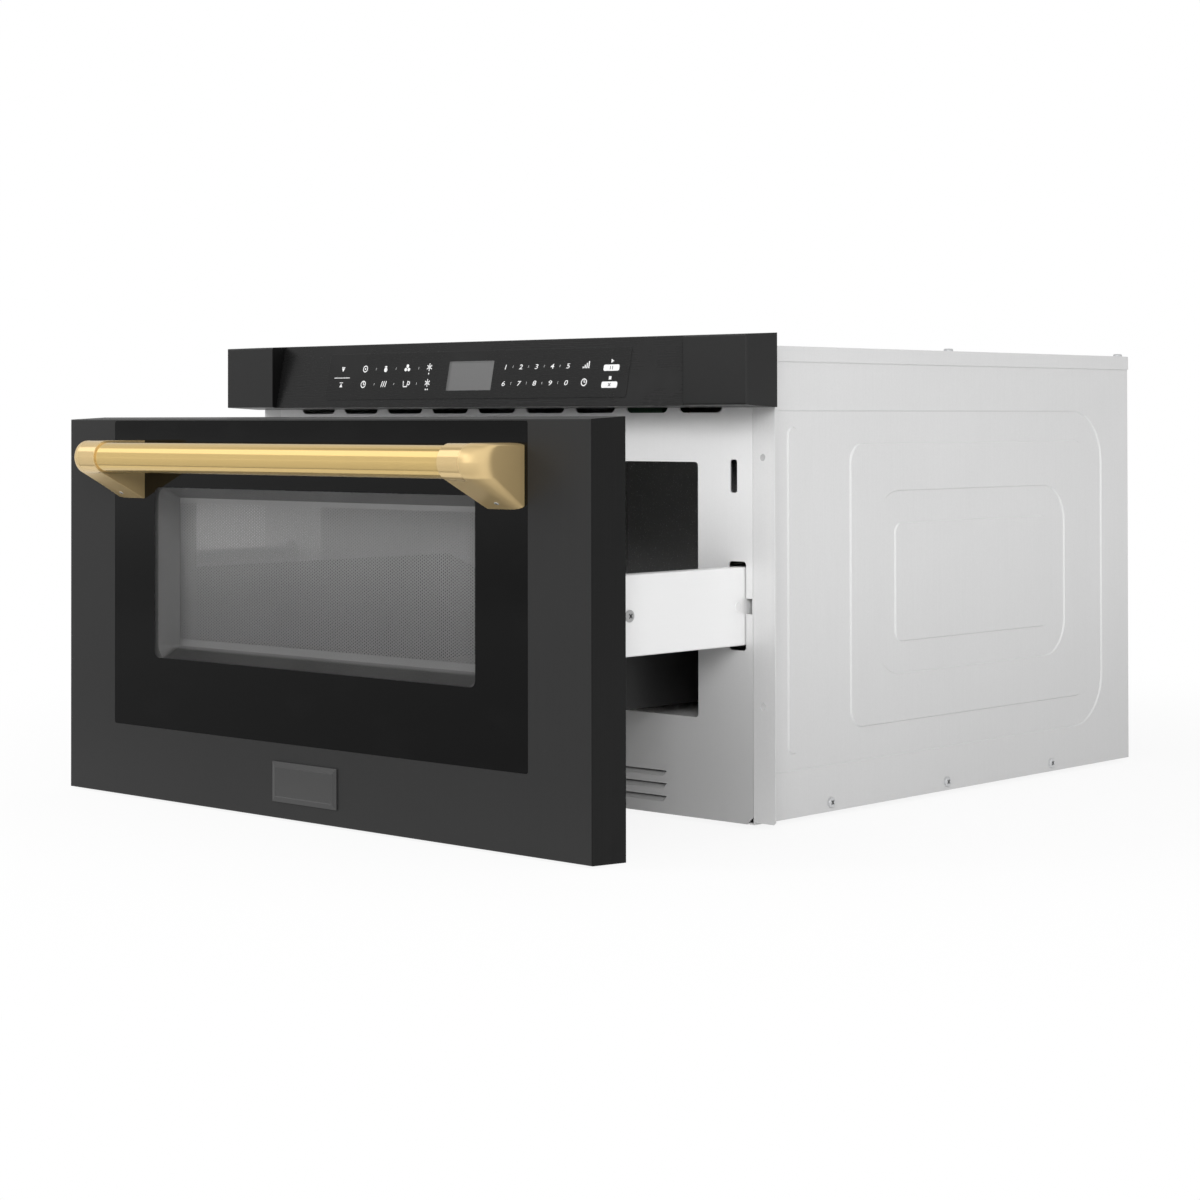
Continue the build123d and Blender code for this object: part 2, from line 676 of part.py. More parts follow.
with BuildPart() as stirrer:
    with BuildSketch(Plane.XY.offset(STIR_Z)):
        with Locations((0, WELL_Y)):
            Circle(STIR_HUB_R)
            with PolarLocations(STIR_R / 2, STIR_VANES):
                Rectangle(STIR_R, STIR_VANE_W)
    extrude(amount=STIR_T)
    fillet(stirrer.edges().filter_by(Axis.Z), STIR_T * 2)
    with Locations((0, WELL_Y, STIR_Z + STIR_TAB_H / 2)):
        with PolarLocations(STIR_R * 0.6, STIR_VANES):
            with Locations((0, STIR_VANE_W / 2 - STIR_T / 2, 0)):
                Box(STIR_R / 2, STIR_T, STIR_TAB_H)
    stirrer_foot = MOTOR_TOP - STIR_BORE + SLIDE_GAP
    rod((0, WELL_Y, stirrer_foot), (0, 0, 1), STIR_SHAFT_R, STIR_Z + STIR_TAB_H - stirrer_foot)

YOKE_TOP = GUIDE_TOP + YOKE_H
with BuildPart() as magnetron_yoke:
    yoke_mid = (MAGNETRON_Y, GUIDE_TOP + YOKE_H / 2)
    yoke = rectangle(side_plane(-YOKE_W / 2), yoke_mid, (YOKE_D, YOKE_H), YOKE_T * 2)
    extrude(yoke, amount=YOKE_W)
    air = rectangle(
        side_plane(-YOKE_W / 2),
        (MAGNETRON_Y, GUIDE_TOP + YOKE_H / 2),
        (YOKE_D - 2 * YOKE_T, YOKE_H - 2 * YOKE_T),
        YOKE_T,
    )
    extrude(air, amount=YOKE_W, mode=Mode.SUBTRACT)
    rod((0, MAGNETRON_Y, GUIDE_TOP), (0, 0, 1), STEM_R + STEM_FIT, YOKE_T, mode=Mode.SUBTRACT)

with BuildPart() as magnetron_tube:
    tube_low = GUIDE_TOP + YOKE_T
    tube_high = YOKE_TOP - YOKE_T
    with BuildSketch(wall_plane(MAGNETRON_Y)):
        with BuildLine():
            Polyline(
                (0, GUIDE_TOP - ANTENNA_L),
                (STEM_R, GUIDE_TOP - ANTENNA_L),
                (STEM_R, tube_low),
                (MAGNET_R, tube_low),
                (MAGNET_R, tube_low + MAGNET_H),
                (ANODE_R, tube_low + MAGNET_H),
                (ANODE_R, tube_high - MAGNET_H),
                (MAGNET_R, tube_high - MAGNET_H),
                (MAGNET_R, tube_high),
                (0, tube_high),
                close=True,
            )
        make_face()
    revolve(axis=Axis((0, MAGNETRON_Y, 0), (0, 0, 1)))

with BuildPart() as magnetron_fins:
    stack = YOKE_H - 2 * (YOKE_T + MAGNET_H)
    with BuildSketch(Plane.XY.offset(GUIDE_TOP + YOKE_T + MAGNET_H + stack / FIN_COUNT / 2)) as fin:
        with Locations((0, MAGNETRON_Y)):
            Rectangle(FIN_W, YOKE_D - 2 * (YOKE_T + FIN_FIT))
            Circle(ANODE_R + FIN_FIT, mode=Mode.SUBTRACT)
    fin_plate = extrude(amount=FIN_T)
    for i in range(1, FIN_COUNT):
        add(fin_plate.moved(Location((0, 0, i * stack / FIN_COUNT))))

with BuildPart() as magnetron_filter:
    filter_x = (-FILTER_W / 2, FILTER_W / 2)
    block(filter_x, (MAGNETRON_Y - FILTER_D / 2, MAGNETRON_Y + FILTER_D / 2), (YOKE_TOP, YOKE_TOP + FILTER_H))
    fillet(magnetron_filter.edges().filter_by(Axis.Z), YOKE_T)
    rod((FILTER_W / 2, MAGNETRON_Y, YOKE_TOP + FILTER_H / 2), (1, 0, 0), FILTER_H / 4, TERMINAL_L)
    for y in (MAGNETRON_Y - FILTER_PIN_Y, MAGNETRON_Y + FILTER_PIN_Y):
        block(
            (FILTER_W / 2 + TERMINAL_L, FILTER_W / 2 + 2 * TERMINAL_L),
            (y - TERMINAL_T / 2, y + TERMINAL_T / 2),
            (YOKE_TOP + FILTER_H / 2 - TERMINAL_W / 2, YOKE_TOP + FILTER_H / 2 + TERMINAL_W / 2),
        )

# ---------------------------------------------------------------- power supply and electronics

CORE_Z = FRONT_T + CORE_FOOT
with BuildPart() as transformer_core:
    with BuildSketch(wall_plane(MAGNETRON_Y + CORE_D / 2)):
        with Locations((CORE_X, CORE_Z + CORE_H / 2)):
            Rectangle(CORE_W, CORE_H)
            with GridLocations((CORE_W + CORE_LIMB) / 2 - CORE_YOKE, CORE_H, 2, 1):
                Rectangle((CORE_W - CORE_LIMB) / 2 - CORE_YOKE, CORE_H - 2 * CORE_YOKE, mode=Mode.SUBTRACT)
    extrude(amount=CORE_D)
    foot_y = (MAGNETRON_Y - CORE_FOOT_D / 2, MAGNETRON_Y + CORE_FOOT_D / 2)
    block((CORE_X - CORE_FOOT_W / 2, CORE_X + CORE_FOOT_W / 2), foot_y, (FRONT_T, CORE_Z))

with BuildPart() as transformer_coils:
    coil_w = CORE_W - 2 * CORE_YOKE - 2 * COIL_FIT
    coil_h = (CORE_H - 2 * CORE_YOKE - COIL_GAP) / 2 - COIL_FIT
    for z in (CORE_Z + CORE_YOKE, CORE_Z + CORE_YOKE + coil_h + COIL_GAP):
        with BuildSketch(Plane.XY.offset(z)):
            with Locations((CORE_X, MAGNETRON_Y)):
                RectangleRounded(coil_w, CORE_D + 2 * COIL_OUT, COIL_R)
                Rectangle(CORE_LIMB + 2 * COIL_FIT, CORE_D + 2 * COIL_FIT, mode=Mode.SUBTRACT)
        extrude(amount=coil_h)

with BuildPart() as capacitor:
    with BuildSketch(wall_plane(FRONT + CAN_Y + CAN_L / 2)):
        with Locations((CAN_X, FRONT_T + CAN_H / 2)):
            SlotOverall(CAN_W, CAN_H)
    extrude(amount=CAN_L)
    for x in (CAN_X - CAN_W / 4, CAN_X + CAN_W / 4):
        block(
            (x - TERMINAL_T / 2, x + TERMINAL_T / 2),
            (FRONT + CAN_Y - CAN_L / 2 - TERMINAL_L, FRONT + CAN_Y - CAN_L / 2),
            (FRONT_T + CAN_H / 2 - TERMINAL_W / 2, FRONT_T + CAN_H / 2 + TERMINAL_W / 2),
        )

with BuildPart() as relay_board:
    board_z = CAVITY_TOP + RELAY_RISE
    mid = (RELAY_X, FRONT + RELAY_Y)
    block(
        (mid[0] - RELAY_W / 2, mid[0] + RELAY_W / 2),
        (mid[1] - RELAY_D / 2, mid[1] + RELAY_D / 2),
        (board_z, board_z + BOARD_T),
    )
    with Locations((*mid, CAVITY_TOP)):
        with GridLocations(RELAY_W - 4 * POST_R, RELAY_D - 4 * POST_R, 2, 2):
            Cylinder(POST_R, RELAY_RISE, align=(Align.CENTER, Align.CENTER, Align.MIN))
    with Locations((mid[0], mid[1] + RELAY_D / 4, board_z + BOARD_T)):
        with GridLocations(RELAY_W / 5, RELAY_D, 4, 1):
            Box(*RELAY_BOX, align=(Align.CENTER, Align.CENTER, Align.MIN))
    with Locations((mid[0] - RELAY_W / 4, mid[1] - RELAY_D / 5, board_z + BOARD_T)):
        Box(*CHOKE_BOX, align=(Align.CENTER, Align.CENTER, Align.MIN))
    with Locations((mid[0] + RELAY_W / 5, mid[1] - RELAY_D / 5, board_z + BOARD_T)):
        with GridLocations(RELAY_W / 7, RELAY_D, 3, 1):
            Cylinder(SMOOTHER_R, SMOOTHER_H, align=(Align.CENTER, Align.CENTER, Align.MIN))

with BuildPart() as noise_filter:
    board_y = BACK - SHEET - NOISE_RISE
    block(
        (NOISE_X - NOISE_W / 2, NOISE_X + NOISE_W / 2),
        (board_y - BOARD_T, board_y),
        (NOISE_Z - NOISE_H / 2, NOISE_Z + NOISE_H / 2),
    )
    post_x = NOISE_W / 2 - 2 * POST_R
    post_z = NOISE_H / 2 - 2 * POST_R
    for x in (-post_x, post_x):
        for z in (-post_z, post_z):
            rod((NOISE_X + x, board_y, NOISE_Z + z), (0, 1, 0), POST_R, NOISE_RISE)
    rod((NOISE_X - NOISE_W / 6, board_y - BOARD_T, NOISE_Z), (0, -1, 0), NOISE_W / 6, NOISE_RISE * 2)
    block(
        (NOISE_X + NOISE_W / 8, NOISE_X + NOISE_W / 3),
        (board_y - BOARD_T - NOISE_RISE * 1.5, board_y - BOARD_T),
        (NOISE_Z - NOISE_H / 4, NOISE_Z + NOISE_H / 4),
    )

with BuildPart() as cord_bushing:
    with BuildSketch(Plane(origin=(CORD_X, 0, CORD_Z), x_dir=(1, 0, 0), z_dir=(0, 0, 1))):
        with BuildLine():
            Polyline(
                (CORD_R, BACK - SHEET - BUSHING_FLANGE_T),
                (BUSHING_FLANGE_R, BACK - SHEET - BUSHING_FLANGE_T),
                (BUSHING_FLANGE_R, BACK - SHEET),
                (BUSHING_R - SCREW_FIT, BACK - SHEET),
                (BUSHING_R - SCREW_FIT, BACK),
                (BUSHING_FLANGE_R, BACK),
                (BUSHING_FLANGE_R - BUSHING_EDGE, BACK + BUSHING_FLANGE_T),
                (CORD_R + BUSHING_EDGE, BACK + BUSHING_FLANGE_T),
                (CORD_R, BACK + BUSHING_FLANGE_T - BUSHING_EDGE),
                close=True,
            )
        make_face()
    revolve(axis=Axis((CORD_X, 0, CORD_Z), (0, 1, 0)))

# ---------------------------------------------------------------- cooling fan, lamp and cut-outs

with BuildPart() as fan_shroud:
    with BuildSketch(side_plane(FAN_X - FAN_PLATE_T)):
        with Locations((MAGNETRON_Y, FAN_Z)):
            RectangleRounded(FAN_PLATE, FAN_PLATE, FAN_RING * 2)
            Circle(FAN_R, mode=Mode.SUBTRACT)
            Circle(FAN_BOSS_R)
            with PolarLocations(FAN_R / 2, FAN_ARMS, start_angle=45):
                Rectangle(FAN_R + FAN_RING, FAN_ARM_W)
            Circle(FAN_SHAFT_R + SHAFT_FIT, mode=Mode.SUBTRACT)
    extrude(amount=FAN_PLATE_T)
    with BuildSketch(side_plane(FAN_X)):
        with Locations((MAGNETRON_Y, FAN_Z)):
            Circle(FAN_R + FAN_RING)
            Circle(FAN_R, mode=Mode.SUBTRACT)
    extrude(amount=FAN_DEPTH)
    for y in (MAGNETRON_Y - FAN_PLATE / 2, MAGNETRON_Y + FAN_PLATE / 2 - FAN_LEG_W):
        leg_z = (FRONT_T, FAN_Z - FAN_PLATE / 2 + FAN_RING * 2)
        block((FAN_X - FAN_PLATE_T, FAN_X), (y, y + FAN_LEG_W), leg_z)
        block((FAN_X, FAN_X + FAN_LEG_W), (y, y + FAN_LEG_W), (FRONT_T, FRONT_T + FAN_PLATE_T))

with BuildPart() as fan_motor:
    rod((FAN_X - FAN_PLATE_T, MAGNETRON_Y, FAN_Z), (-1, 0, 0), FAN_MOTOR_R / 2, FAN_MOTOR_L)
    block(
        (FAN_X - FAN_PLATE_T - FAN_MOTOR_L * 0.75, FAN_X - FAN_PLATE_T - FAN_MOTOR_L * 0.25),
        (MAGNETRON_Y - FAN_MOTOR_R, MAGNETRON_Y + FAN_MOTOR_R),
        (FAN_Z - FAN_MOTOR_R, FAN_Z + FAN_MOTOR_R),
    )
    fillet(fan_motor.edges().filter_by(Axis.X).filter_by(GeomType.LINE), FAN_RING)
    rod((FAN_X - FAN_PLATE_T, MAGNETRON_Y, FAN_Z), (-1, 0, 0), FAN_SHAFT_R + SHAFT_FIT, SHAFT_DEPTH,
        mode=Mode.SUBTRACT)

FAN_BLADE_X = FAN_X + FAN_DEPTH / 2
with BuildPart() as blade:
    for radius, twist in zip((FAN_HUB_R - FAN_BLADE_T, FAN_R - FAN_TIP), FAN_TWIST):
        radial = Plane(origin=(FAN_BLADE_X, MAGNETRON_Y, FAN_Z + radius), x_dir=(1, 0, 0), z_dir=(0, 0, 1))
        with BuildSketch(radial):
            SlotOverall(FAN_CHORD, FAN_BLADE_T, rotation=twist)
    loft()

with BuildPart() as fan_blade:
    hub_l = FAN_CHORD * 0.8
    rod((FAN_BLADE_X - hub_l / 2, MAGNETRON_Y, FAN_Z), (1, 0, 0), FAN_HUB_R, hub_l)
    chamfer(fan_blade.edges().group_by(Axis.X)[-1], FAN_BLADE_T)
    for i in range(FAN_BLADES):
        add(blade.part.rotate(Axis((0, MAGNETRON_Y, FAN_Z), (1, 0, 0)), i * 360 / FAN_BLADES))
    shaft_l = FAN_BLADE_X - FAN_X + FAN_PLATE_T + SHAFT_DEPTH - SLIDE_GAP
    rod((FAN_BLADE_X, MAGNETRON_Y, FAN_Z), (-1, 0, 0), FAN_SHAFT_R, shaft_l)

with BuildPart() as oven_lamp:
    wall_x = -CAVITY_W / 2 - CAVITY_T
    with BuildSketch(Plane(origin=(wall_x, FRONT + LAMP_Y, LAMP_Z), x_dir=(-1, 0, 0), z_dir=(0, 1, 0))):
        with BuildLine():
            Polyline(
                (0, LAMP_CAN_R + LAMP_FLANGE),
                (LAMP_WALL, LAMP_CAN_R + LAMP_FLANGE),
                (LAMP_WALL, LAMP_CAN_R),
                (LAMP_CAN_L, LAMP_CAN_R),
                (LAMP_CAN_L, 0),
                (LAMP_CAN_L - LAMP_WALL - 2 * BULB_R, 0),
            )
            ThreePointArc(
                (LAMP_CAN_L - LAMP_WALL - 2 * BULB_R, 0),
                (LAMP_CAN_L - LAMP_WALL - BULB_R, BULB_R),
                (LAMP_CAN_L - LAMP_WALL - BULB_R * 0.3, SOCKET_R),
            )
            Polyline(
                (LAMP_CAN_L - LAMP_WALL - BULB_R * 0.3, SOCKET_R),
                (LAMP_CAN_L - LAMP_WALL, SOCKET_R),
                (LAMP_CAN_L - LAMP_WALL, LAMP_CAN_R - LAMP_WALL),
                (0, LAMP_CAN_R - LAMP_WALL),
                (0, LAMP_CAN_R + LAMP_FLANGE),
            )
        make_face()
    revolve(axis=Axis((wall_x, FRONT + LAMP_Y, LAMP_Z), (-1, 0, 0)))

with BuildPart() as thermal_cutouts:
    for x in (-CUTOUT_X, CUTOUT_X):
        rod((x, FRONT + CUTOUT_Y, CAVITY_TOP), (0, 0, 1), CUTOUT_R, CUTOUT_H)
        block(
            (x - 2 * CUTOUT_R, x + 2 * CUTOUT_R),
            (FRONT + CUTOUT_Y - HEAD_R, FRONT + CUTOUT_Y + HEAD_R),
            (CAVITY_TOP, CAVITY_TOP + SHEET),
        )
        for y in (-HEAD_R, HEAD_R):
            block(
                (x - TERMINAL_W / 2, x + TERMINAL_W / 2),
                (FRONT + CUTOUT_Y + y - TERMINAL_T / 2, FRONT + CUTOUT_Y + y + TERMINAL_T / 2),
                (CAVITY_TOP + CUTOUT_H, CAVITY_TOP + CUTOUT_H + TERMINAL_L),
            )

# ---------------------------------------------------------------- control panel

PANEL_Y = FRONT - FACE_OUT
PANEL_BACK_Y = PANEL_Y + PANEL_T
LEAN = (RECESS_TOP - RECESS_LOW) / (PANEL_Z1 - PANEL_Z0 - 2 * FLARE)
LEAN_ANGLE = atan2(RECESS_TOP - RECESS_LOW, PANEL_Z1 - PANEL_Z0 - 2 * FLARE)
RECESS_W = PANEL_W - 2 * CAP_W


def lean_y(z, behind=0.0):
    """Depth of the leaning touch surface at height z, or of the plane that lies behind it."""
    return PANEL_Y + RECESS_LOW + LEAN * (z - PANEL_Z0 - FLARE) + behind / cos(LEAN_ANGLE)


with BuildPart() as control_panel_housing:
    with BuildSketch(side_plane(-PANEL_W / 2)):
        with BuildLine():
            Polyline(
                (PANEL_Y, PANEL_Z0 + FLARE),
                (PANEL_BACK_Y, PANEL_Z0),
                (PANEL_BACK_Y, PANEL_Z1),
                (PANEL_Y, PANEL_Z1 - FLARE),
                close=True,
            )
        make_face()
    extrude(amount=PANEL_W)
    fillet(control_panel_housing.faces().sort_by(Axis.Y)[0].edges(), PANEL_EDGE_R)
    with BuildSketch(side_plane(-RECESS_W / 2)):
        with BuildLine():
            Polyline(
                (PANEL_Y - SHEET, PANEL_Z0 - SHEET),
                (lean_y(PANEL_Z0 - SHEET, TOUCH_T), PANEL_Z0 - SHEET),
                (lean_y(PANEL_Z1 + SHEET, TOUCH_T), PANEL_Z1 + SHEET),
                (PANEL_Y - SHEET, PANEL_Z1 + SHEET),
                close=True,
            )
        make_face()
    extrude(amount=RECESS_W, mode=Mode.SUBTRACT)
    low = PANEL_Z0 + FLARE + PANEL_SHELL
    high = PANEL_Z1 - FLARE - PANEL_SHELL
    with BuildSketch(side_plane(PANEL_SHELL - PANEL_W / 2)):
        with BuildLine():
            Polyline(
                (lean_y(low, TOUCH_T + PANEL_SHELL), low),
                (PANEL_BACK_Y, low),
                (PANEL_BACK_Y, high),
                (lean_y(high, TOUCH_T + PANEL_SHELL), high),
                close=True,
            )
        make_face()
    extrude(amount=PANEL_W - 2 * PANEL_SHELL, mode=Mode.SUBTRACT)
    for side in (-1, 1):
        cap = sorted((side * (PANEL_W / 2 - PANEL_SHELL), side * (RECESS_W / 2 + PANEL_SHELL)))
        block(cap, (PANEL_Y + PANEL_SHELL, PANEL_BACK_Y), (low, high), mode=Mode.SUBTRACT)

with BuildPart() as touch_glass:
    with BuildSketch(side_plane(GLASS_FIT - RECESS_W / 2)):
        with BuildLine():
            Polyline(
                (lean_y(PANEL_Z0 + FLARE), PANEL_Z0 + FLARE),
                (lean_y(PANEL_Z0 + FLARE, TOUCH_T), PANEL_Z0 + FLARE),
                (lean_y(PANEL_Z1 - FLARE, TOUCH_T), PANEL_Z1 - FLARE),
                (lean_y(PANEL_Z1 - FLARE), PANEL_Z1 - FLARE),
                close=True,
            )
        make_face()
    extrude(amount=RECESS_W - 2 * GLASS_FIT)

with BuildPart() as panel_back:
    inner_z = (low + GLASS_FIT, high - GLASS_FIT)
    half = PANEL_W / 2 - PANEL_SHELL - GLASS_FIT
    block((-half, half), (PANEL_BACK_Y - PANEL_BACK_T, PANEL_BACK_Y), inner_z)
    for x in (-SPACER_X, SPACER_X):
        rod((x, PANEL_BACK_Y, sum(inner_z) / 2), (0, 1, 0), SPACER_R, FRONT - PANEL_BACK_Y)

with BuildPart() as control_board:
    board_face = PANEL_BACK_Y - PANEL_BACK_T - BOARD_GAP
    mid_z = (low + high) / 2
    board_z = (mid_z - BOARD_H / 2, mid_z + BOARD_H / 2)
    block((-BOARD_W / 2, BOARD_W / 2), (board_face - BOARD_T, board_face), board_z)
    for x in (-1, 1):
        for z in (-1, 1):
            post = (x * (BOARD_W / 2 - 2 * POST_R), board_face, mid_z + z * (BOARD_H / 2 - 2 * POST_R))
            rod(post, (0, 1, 0), POST_R, BOARD_GAP)
    block(
        (-DISPLAY_W / 2, DISPLAY_W / 2),
        (board_face - BOARD_T - DISPLAY_T, board_face - BOARD_T),
        (mid_z - DISPLAY_H / 2, mid_z + DISPLAY_H / 2),
    )

# ---------------------------------------------------------------- slides and drawer rails

MOUNT_X = RAIL_IN - SLIDE_STACK          # slide mount's face that carries the outer member
OUTER_FACE = MOUNT_X + SLIDE_T
MIDDLE_WEB = OUTER_FACE + SLIDE_GAP
INNER_FACE = RAIL_IN - SLIDE_T
MIDDLE_TIP = INNER_FACE - SLIDE_GAP
INNER_TIP = MIDDLE_WEB + SLIDE_T + SLIDE_GAP
MIDDLE_H = INNER_H + 2 * (SLIDE_GAP + SLIDE_T)
OUTER_H = MIDDLE_H + 2 * (SLIDE_GAP + SLIDE_T)

with BuildPart() as slide_mounts:
    mount_z = (RAIL_Z - MOUNT_H / 2, RAIL_Z + MOUNT_H / 2)
    mount_y = (FRONT + FRONT_T, BACK - SHEET)
    block((MOUNT_X - MOUNT_T, MOUNT_X), mount_y, mount_z)
    for y in (mount_y[0], mount_y[1] - MOUNT_T):
        block((MOUNT_X - MOUNT_T - MOUNT_TAB, MOUNT_X - MOUNT_T), (y, y + MOUNT_T), mount_z)
    mirror(about=Plane.YZ)

with BuildPart() as outer_slides:
    channel(MOUNT_X, MIDDLE_TIP, OUTER_H, SLIDE_T, FRONT + OUTER_START, FRONT + OUTER_START + OUTER_L)
    mirror(about=Plane.YZ)

with BuildPart() as middle_slide_right:
    # the middle member moves half as far as the drawer
    middle_y = FRONT + MIDDLE_START - OPEN / 2
    channel(MIDDLE_WEB, MIDDLE_TIP, MIDDLE_H, SLIDE_T, middle_y, middle_y + MIDDLE_L)

with BuildPart() as middle_slide_left:
    mirror(middle_slide_right.part, about=Plane.YZ)

with BuildPart() as inner_slides:
    channel(RAIL_IN, INNER_TIP, INNER_H, SLIDE_T, DOOR_BACK + INNER_START, DOOR_BACK + INNER_START + INNER_L)
    for offset in (RAIL_SCREW_OFFSET, *RIVET_OFFSETS):
        rivet_hole = (INNER_FACE, DOOR_BACK + offset, RAIL_Z)
        rod(rivet_hole, (1, 0, 0), RIVET_R + SCREW_FIT, SLIDE_T, mode=Mode.SUBTRACT)
    mirror(about=Plane.YZ)

with BuildPart() as drawer_rail_right:
    channel(RAIL_X, RAIL_X - RAIL_W, RAIL_H, RAIL_T, DOOR_BACK, DOOR_BACK + RAIL_L)
    fillet(drawer_rail_right.edges().filter_by(Axis.Y).group_by(Axis.X)[-1], RAIL_R)
    tab_z = (RAIL_Z - RAIL_H / 2 + RAIL_T, RAIL_Z + RAIL_H / 2 - RAIL_T)
    block((RAIL_X - RAIL_TAB, RAIL_IN), (DOOR_BACK, DOOR_BACK + RAIL_T), tab_z)
    for offset in (RAIL_SCREW_OFFSET, *RIVET_OFFSETS):
        rod((RAIL_IN, DOOR_BACK + offset, RAIL_Z), (1, 0, 0), RIVET_R + SCREW_FIT, RAIL_T, mode=Mode.SUBTRACT)

with BuildPart() as drawer_rail_left:
    mirror(drawer_rail_right.part, about=Plane.YZ)

rivet = head_screw(RIVET_R, RAIL_T + SLIDE_T, RIVET_HEAD_R, RIVET_HEAD_H)
rail_screw = head_screw(RIVET_R, RAIL_T + SLIDE_T, RAIL_SCREW_HEAD_R, RAIL_SCREW_HEAD_H)
with BuildPart() as rail_rivets:
    for side in (-1, 1):
        for offset in RIVET_OFFSETS:
            with Locations(Plane(origin=(side * RAIL_X, DOOR_BACK + offset, RAIL_Z), z_dir=(side, 0, 0))):
                add(rivet)
        screw_place = (side * RAIL_X, DOOR_BACK + RAIL_SCREW_OFFSET, RAIL_Z)
        with Locations(Plane(origin=screw_place, z_dir=(side, 0, 0))):
            add(rail_screw)

# ---------------------------------------------------------------- rack and pinion

PITCH = pi * MODULE
PITCH_R = MODULE * PINION_TEETH / 2
RACK_LOW = RAIL_Z - RAIL_H / 2 + RAIL_T
RACK_REAR_X = RAIL_IN - RACK_IN
RACK_ROOT_X = RACK_REAR_X - RACK_BACK
PITCH_X = RACK_ROOT_X - DEDENDUM * MODULE
PINION_X = PITCH_X - PITCH_R
PINION_Z = RACK_LOW + PINION_RISE
RACK_Y = DOOR_BACK + RACK_START
GEARBOX_LOW = GEARBOX_TOP - GEARBOX_H
SLOPE = tan(radians(PRESSURE_ANGLE))

with BuildPart() as drive_rack:
    tip_x = PITCH_X - RACK_ADDENDUM * MODULE
    tip_half = PITCH / 4 - SLOPE * RACK_ADDENDUM * MODULE
    root_half = PITCH / 4 + SLOPE * DEDENDUM * MODULE
    outline = [(RACK_REAR_X, RACK_Y)]
    for i in range(RACK_TEETH):
        middle = RACK_Y + (i + 0.5) * PITCH
        outline += [
            (RACK_ROOT_X, middle - root_half),
            (tip_x, middle - tip_half),
            (tip_x, middle + tip_half),
            (RACK_ROOT_X, middle + root_half),
        ]
    outline.append((RACK_REAR_X, RACK_Y + RACK_TEETH * PITCH))
    with BuildSketch(Plane.XY.offset(RACK_LOW)):
        with BuildLine():
            Polyline(*outline, close=True)
        make_face()
    extrude(amount=RACK_H)

# the pinion's axis lies opposite a gap of the rack, so that a tooth fills it
nearest_gap = round((FRONT + PINION_Y - RACK_Y) / PITCH)
PINION_CENTRE_Y = RACK_Y + nearest_gap * PITCH
BASE_R = PITCH_R * cos(radians(PRESSURE_ANGLE))
TIP_R = PITCH_R + MODULE
ROOT_R = PITCH_R - DEDENDUM * MODULE


def involute(radius):
    """Angle that the involute has turned through at a radius."""
    pressure = acos(BASE_R / radius)
    return tan(pressure) - pressure


with BuildPart() as drive_pinion:
    half_tooth = (PITCH / 2 - BACKLASH) / (2 * PITCH_R) + involute(PITCH_R)
    flank = [BASE_R + (TIP_R - BASE_R) * i / 4 for i in range(5)]
    outline = []
    for i in range(PINION_TEETH):
        axis = i * 2 * pi / PINION_TEETH
        outline.append((ROOT_R, axis - half_tooth))
        outline += [(r, axis - half_tooth + involute(r)) for r in flank]
        outline += [(r, axis + half_tooth - involute(r)) for r in reversed(flank)]
        outline.append((ROOT_R, axis + half_tooth))
    with BuildSketch(Plane(origin=(PINION_X, PINION_CENTRE_Y, PINION_Z))):
        with BuildLine():
            Polyline(*[(r * cos(a), r * sin(a)) for r, a in outline], close=True)
        make_face()
    extrude(amount=PINION_H)
    shaft_foot = GEARBOX_TOP - SHAFT_DEPTH + SLIDE_GAP
    rod((PINION_X, PINION_CENTRE_Y, shaft_foot), (0, 0, 1), DRIVE_SHAFT_R, PINION_Z - shaft_foot)

with BuildPart() as drive_motor:
    gearbox_x = (PINION_X - GEARBOX_W / 2, PINION_X + GEARBOX_W / 2)
    gearbox_y = (PINION_CENTRE_Y - GEARBOX_D / 2, PINION_CENTRE_Y + GEARBOX_D / 2)
    block(gearbox_x, gearbox_y, (GEARBOX_LOW, GEARBOX_TOP))
    fillet(drive_motor.edges().filter_by(Axis.Z), GEARBOX_R)
    rod((PINION_X, PINION_CENTRE_Y, GEARBOX_LOW), (0, 0, -1), MOTOR_R, MOTOR_L)
    rod((PINION_X, PINION_CENTRE_Y, GEARBOX_LOW - MOTOR_L), (0, 0, -1), MOTOR_R / 3, GEARBOX_R)
    shaft_bore = (PINION_X, PINION_CENTRE_Y, GEARBOX_TOP)
    rod(shaft_bore, (0, 0, -1), DRIVE_SHAFT_R + SHAFT_FIT, SHAFT_DEPTH, mode=Mode.SUBTRACT)

with BuildPart() as drive_bracket:
    upright = (gearbox_y[1], gearbox_y[1] + BRACKET_T)
    block(gearbox_x, (gearbox_y[0], upright[1]), (GEARBOX_TOP, GEARBOX_TOP + BRACKET_T))
    block(gearbox_x, upright, (FRONT_T, GEARBOX_TOP))
    block(gearbox_x, (upright[1], upright[1] + RETURN), (FRONT_T, FRONT_T + BRACKET_T))
    shaft_hole = (PINION_X, PINION_CENTRE_Y, GEARBOX_TOP)
    rod(shaft_hole, (0, 0, 1), DRIVE_SHAFT_R + STEM_FIT, BRACKET_T, mode=Mode.SUBTRACT)

# ---------------------------------------------------------------- door

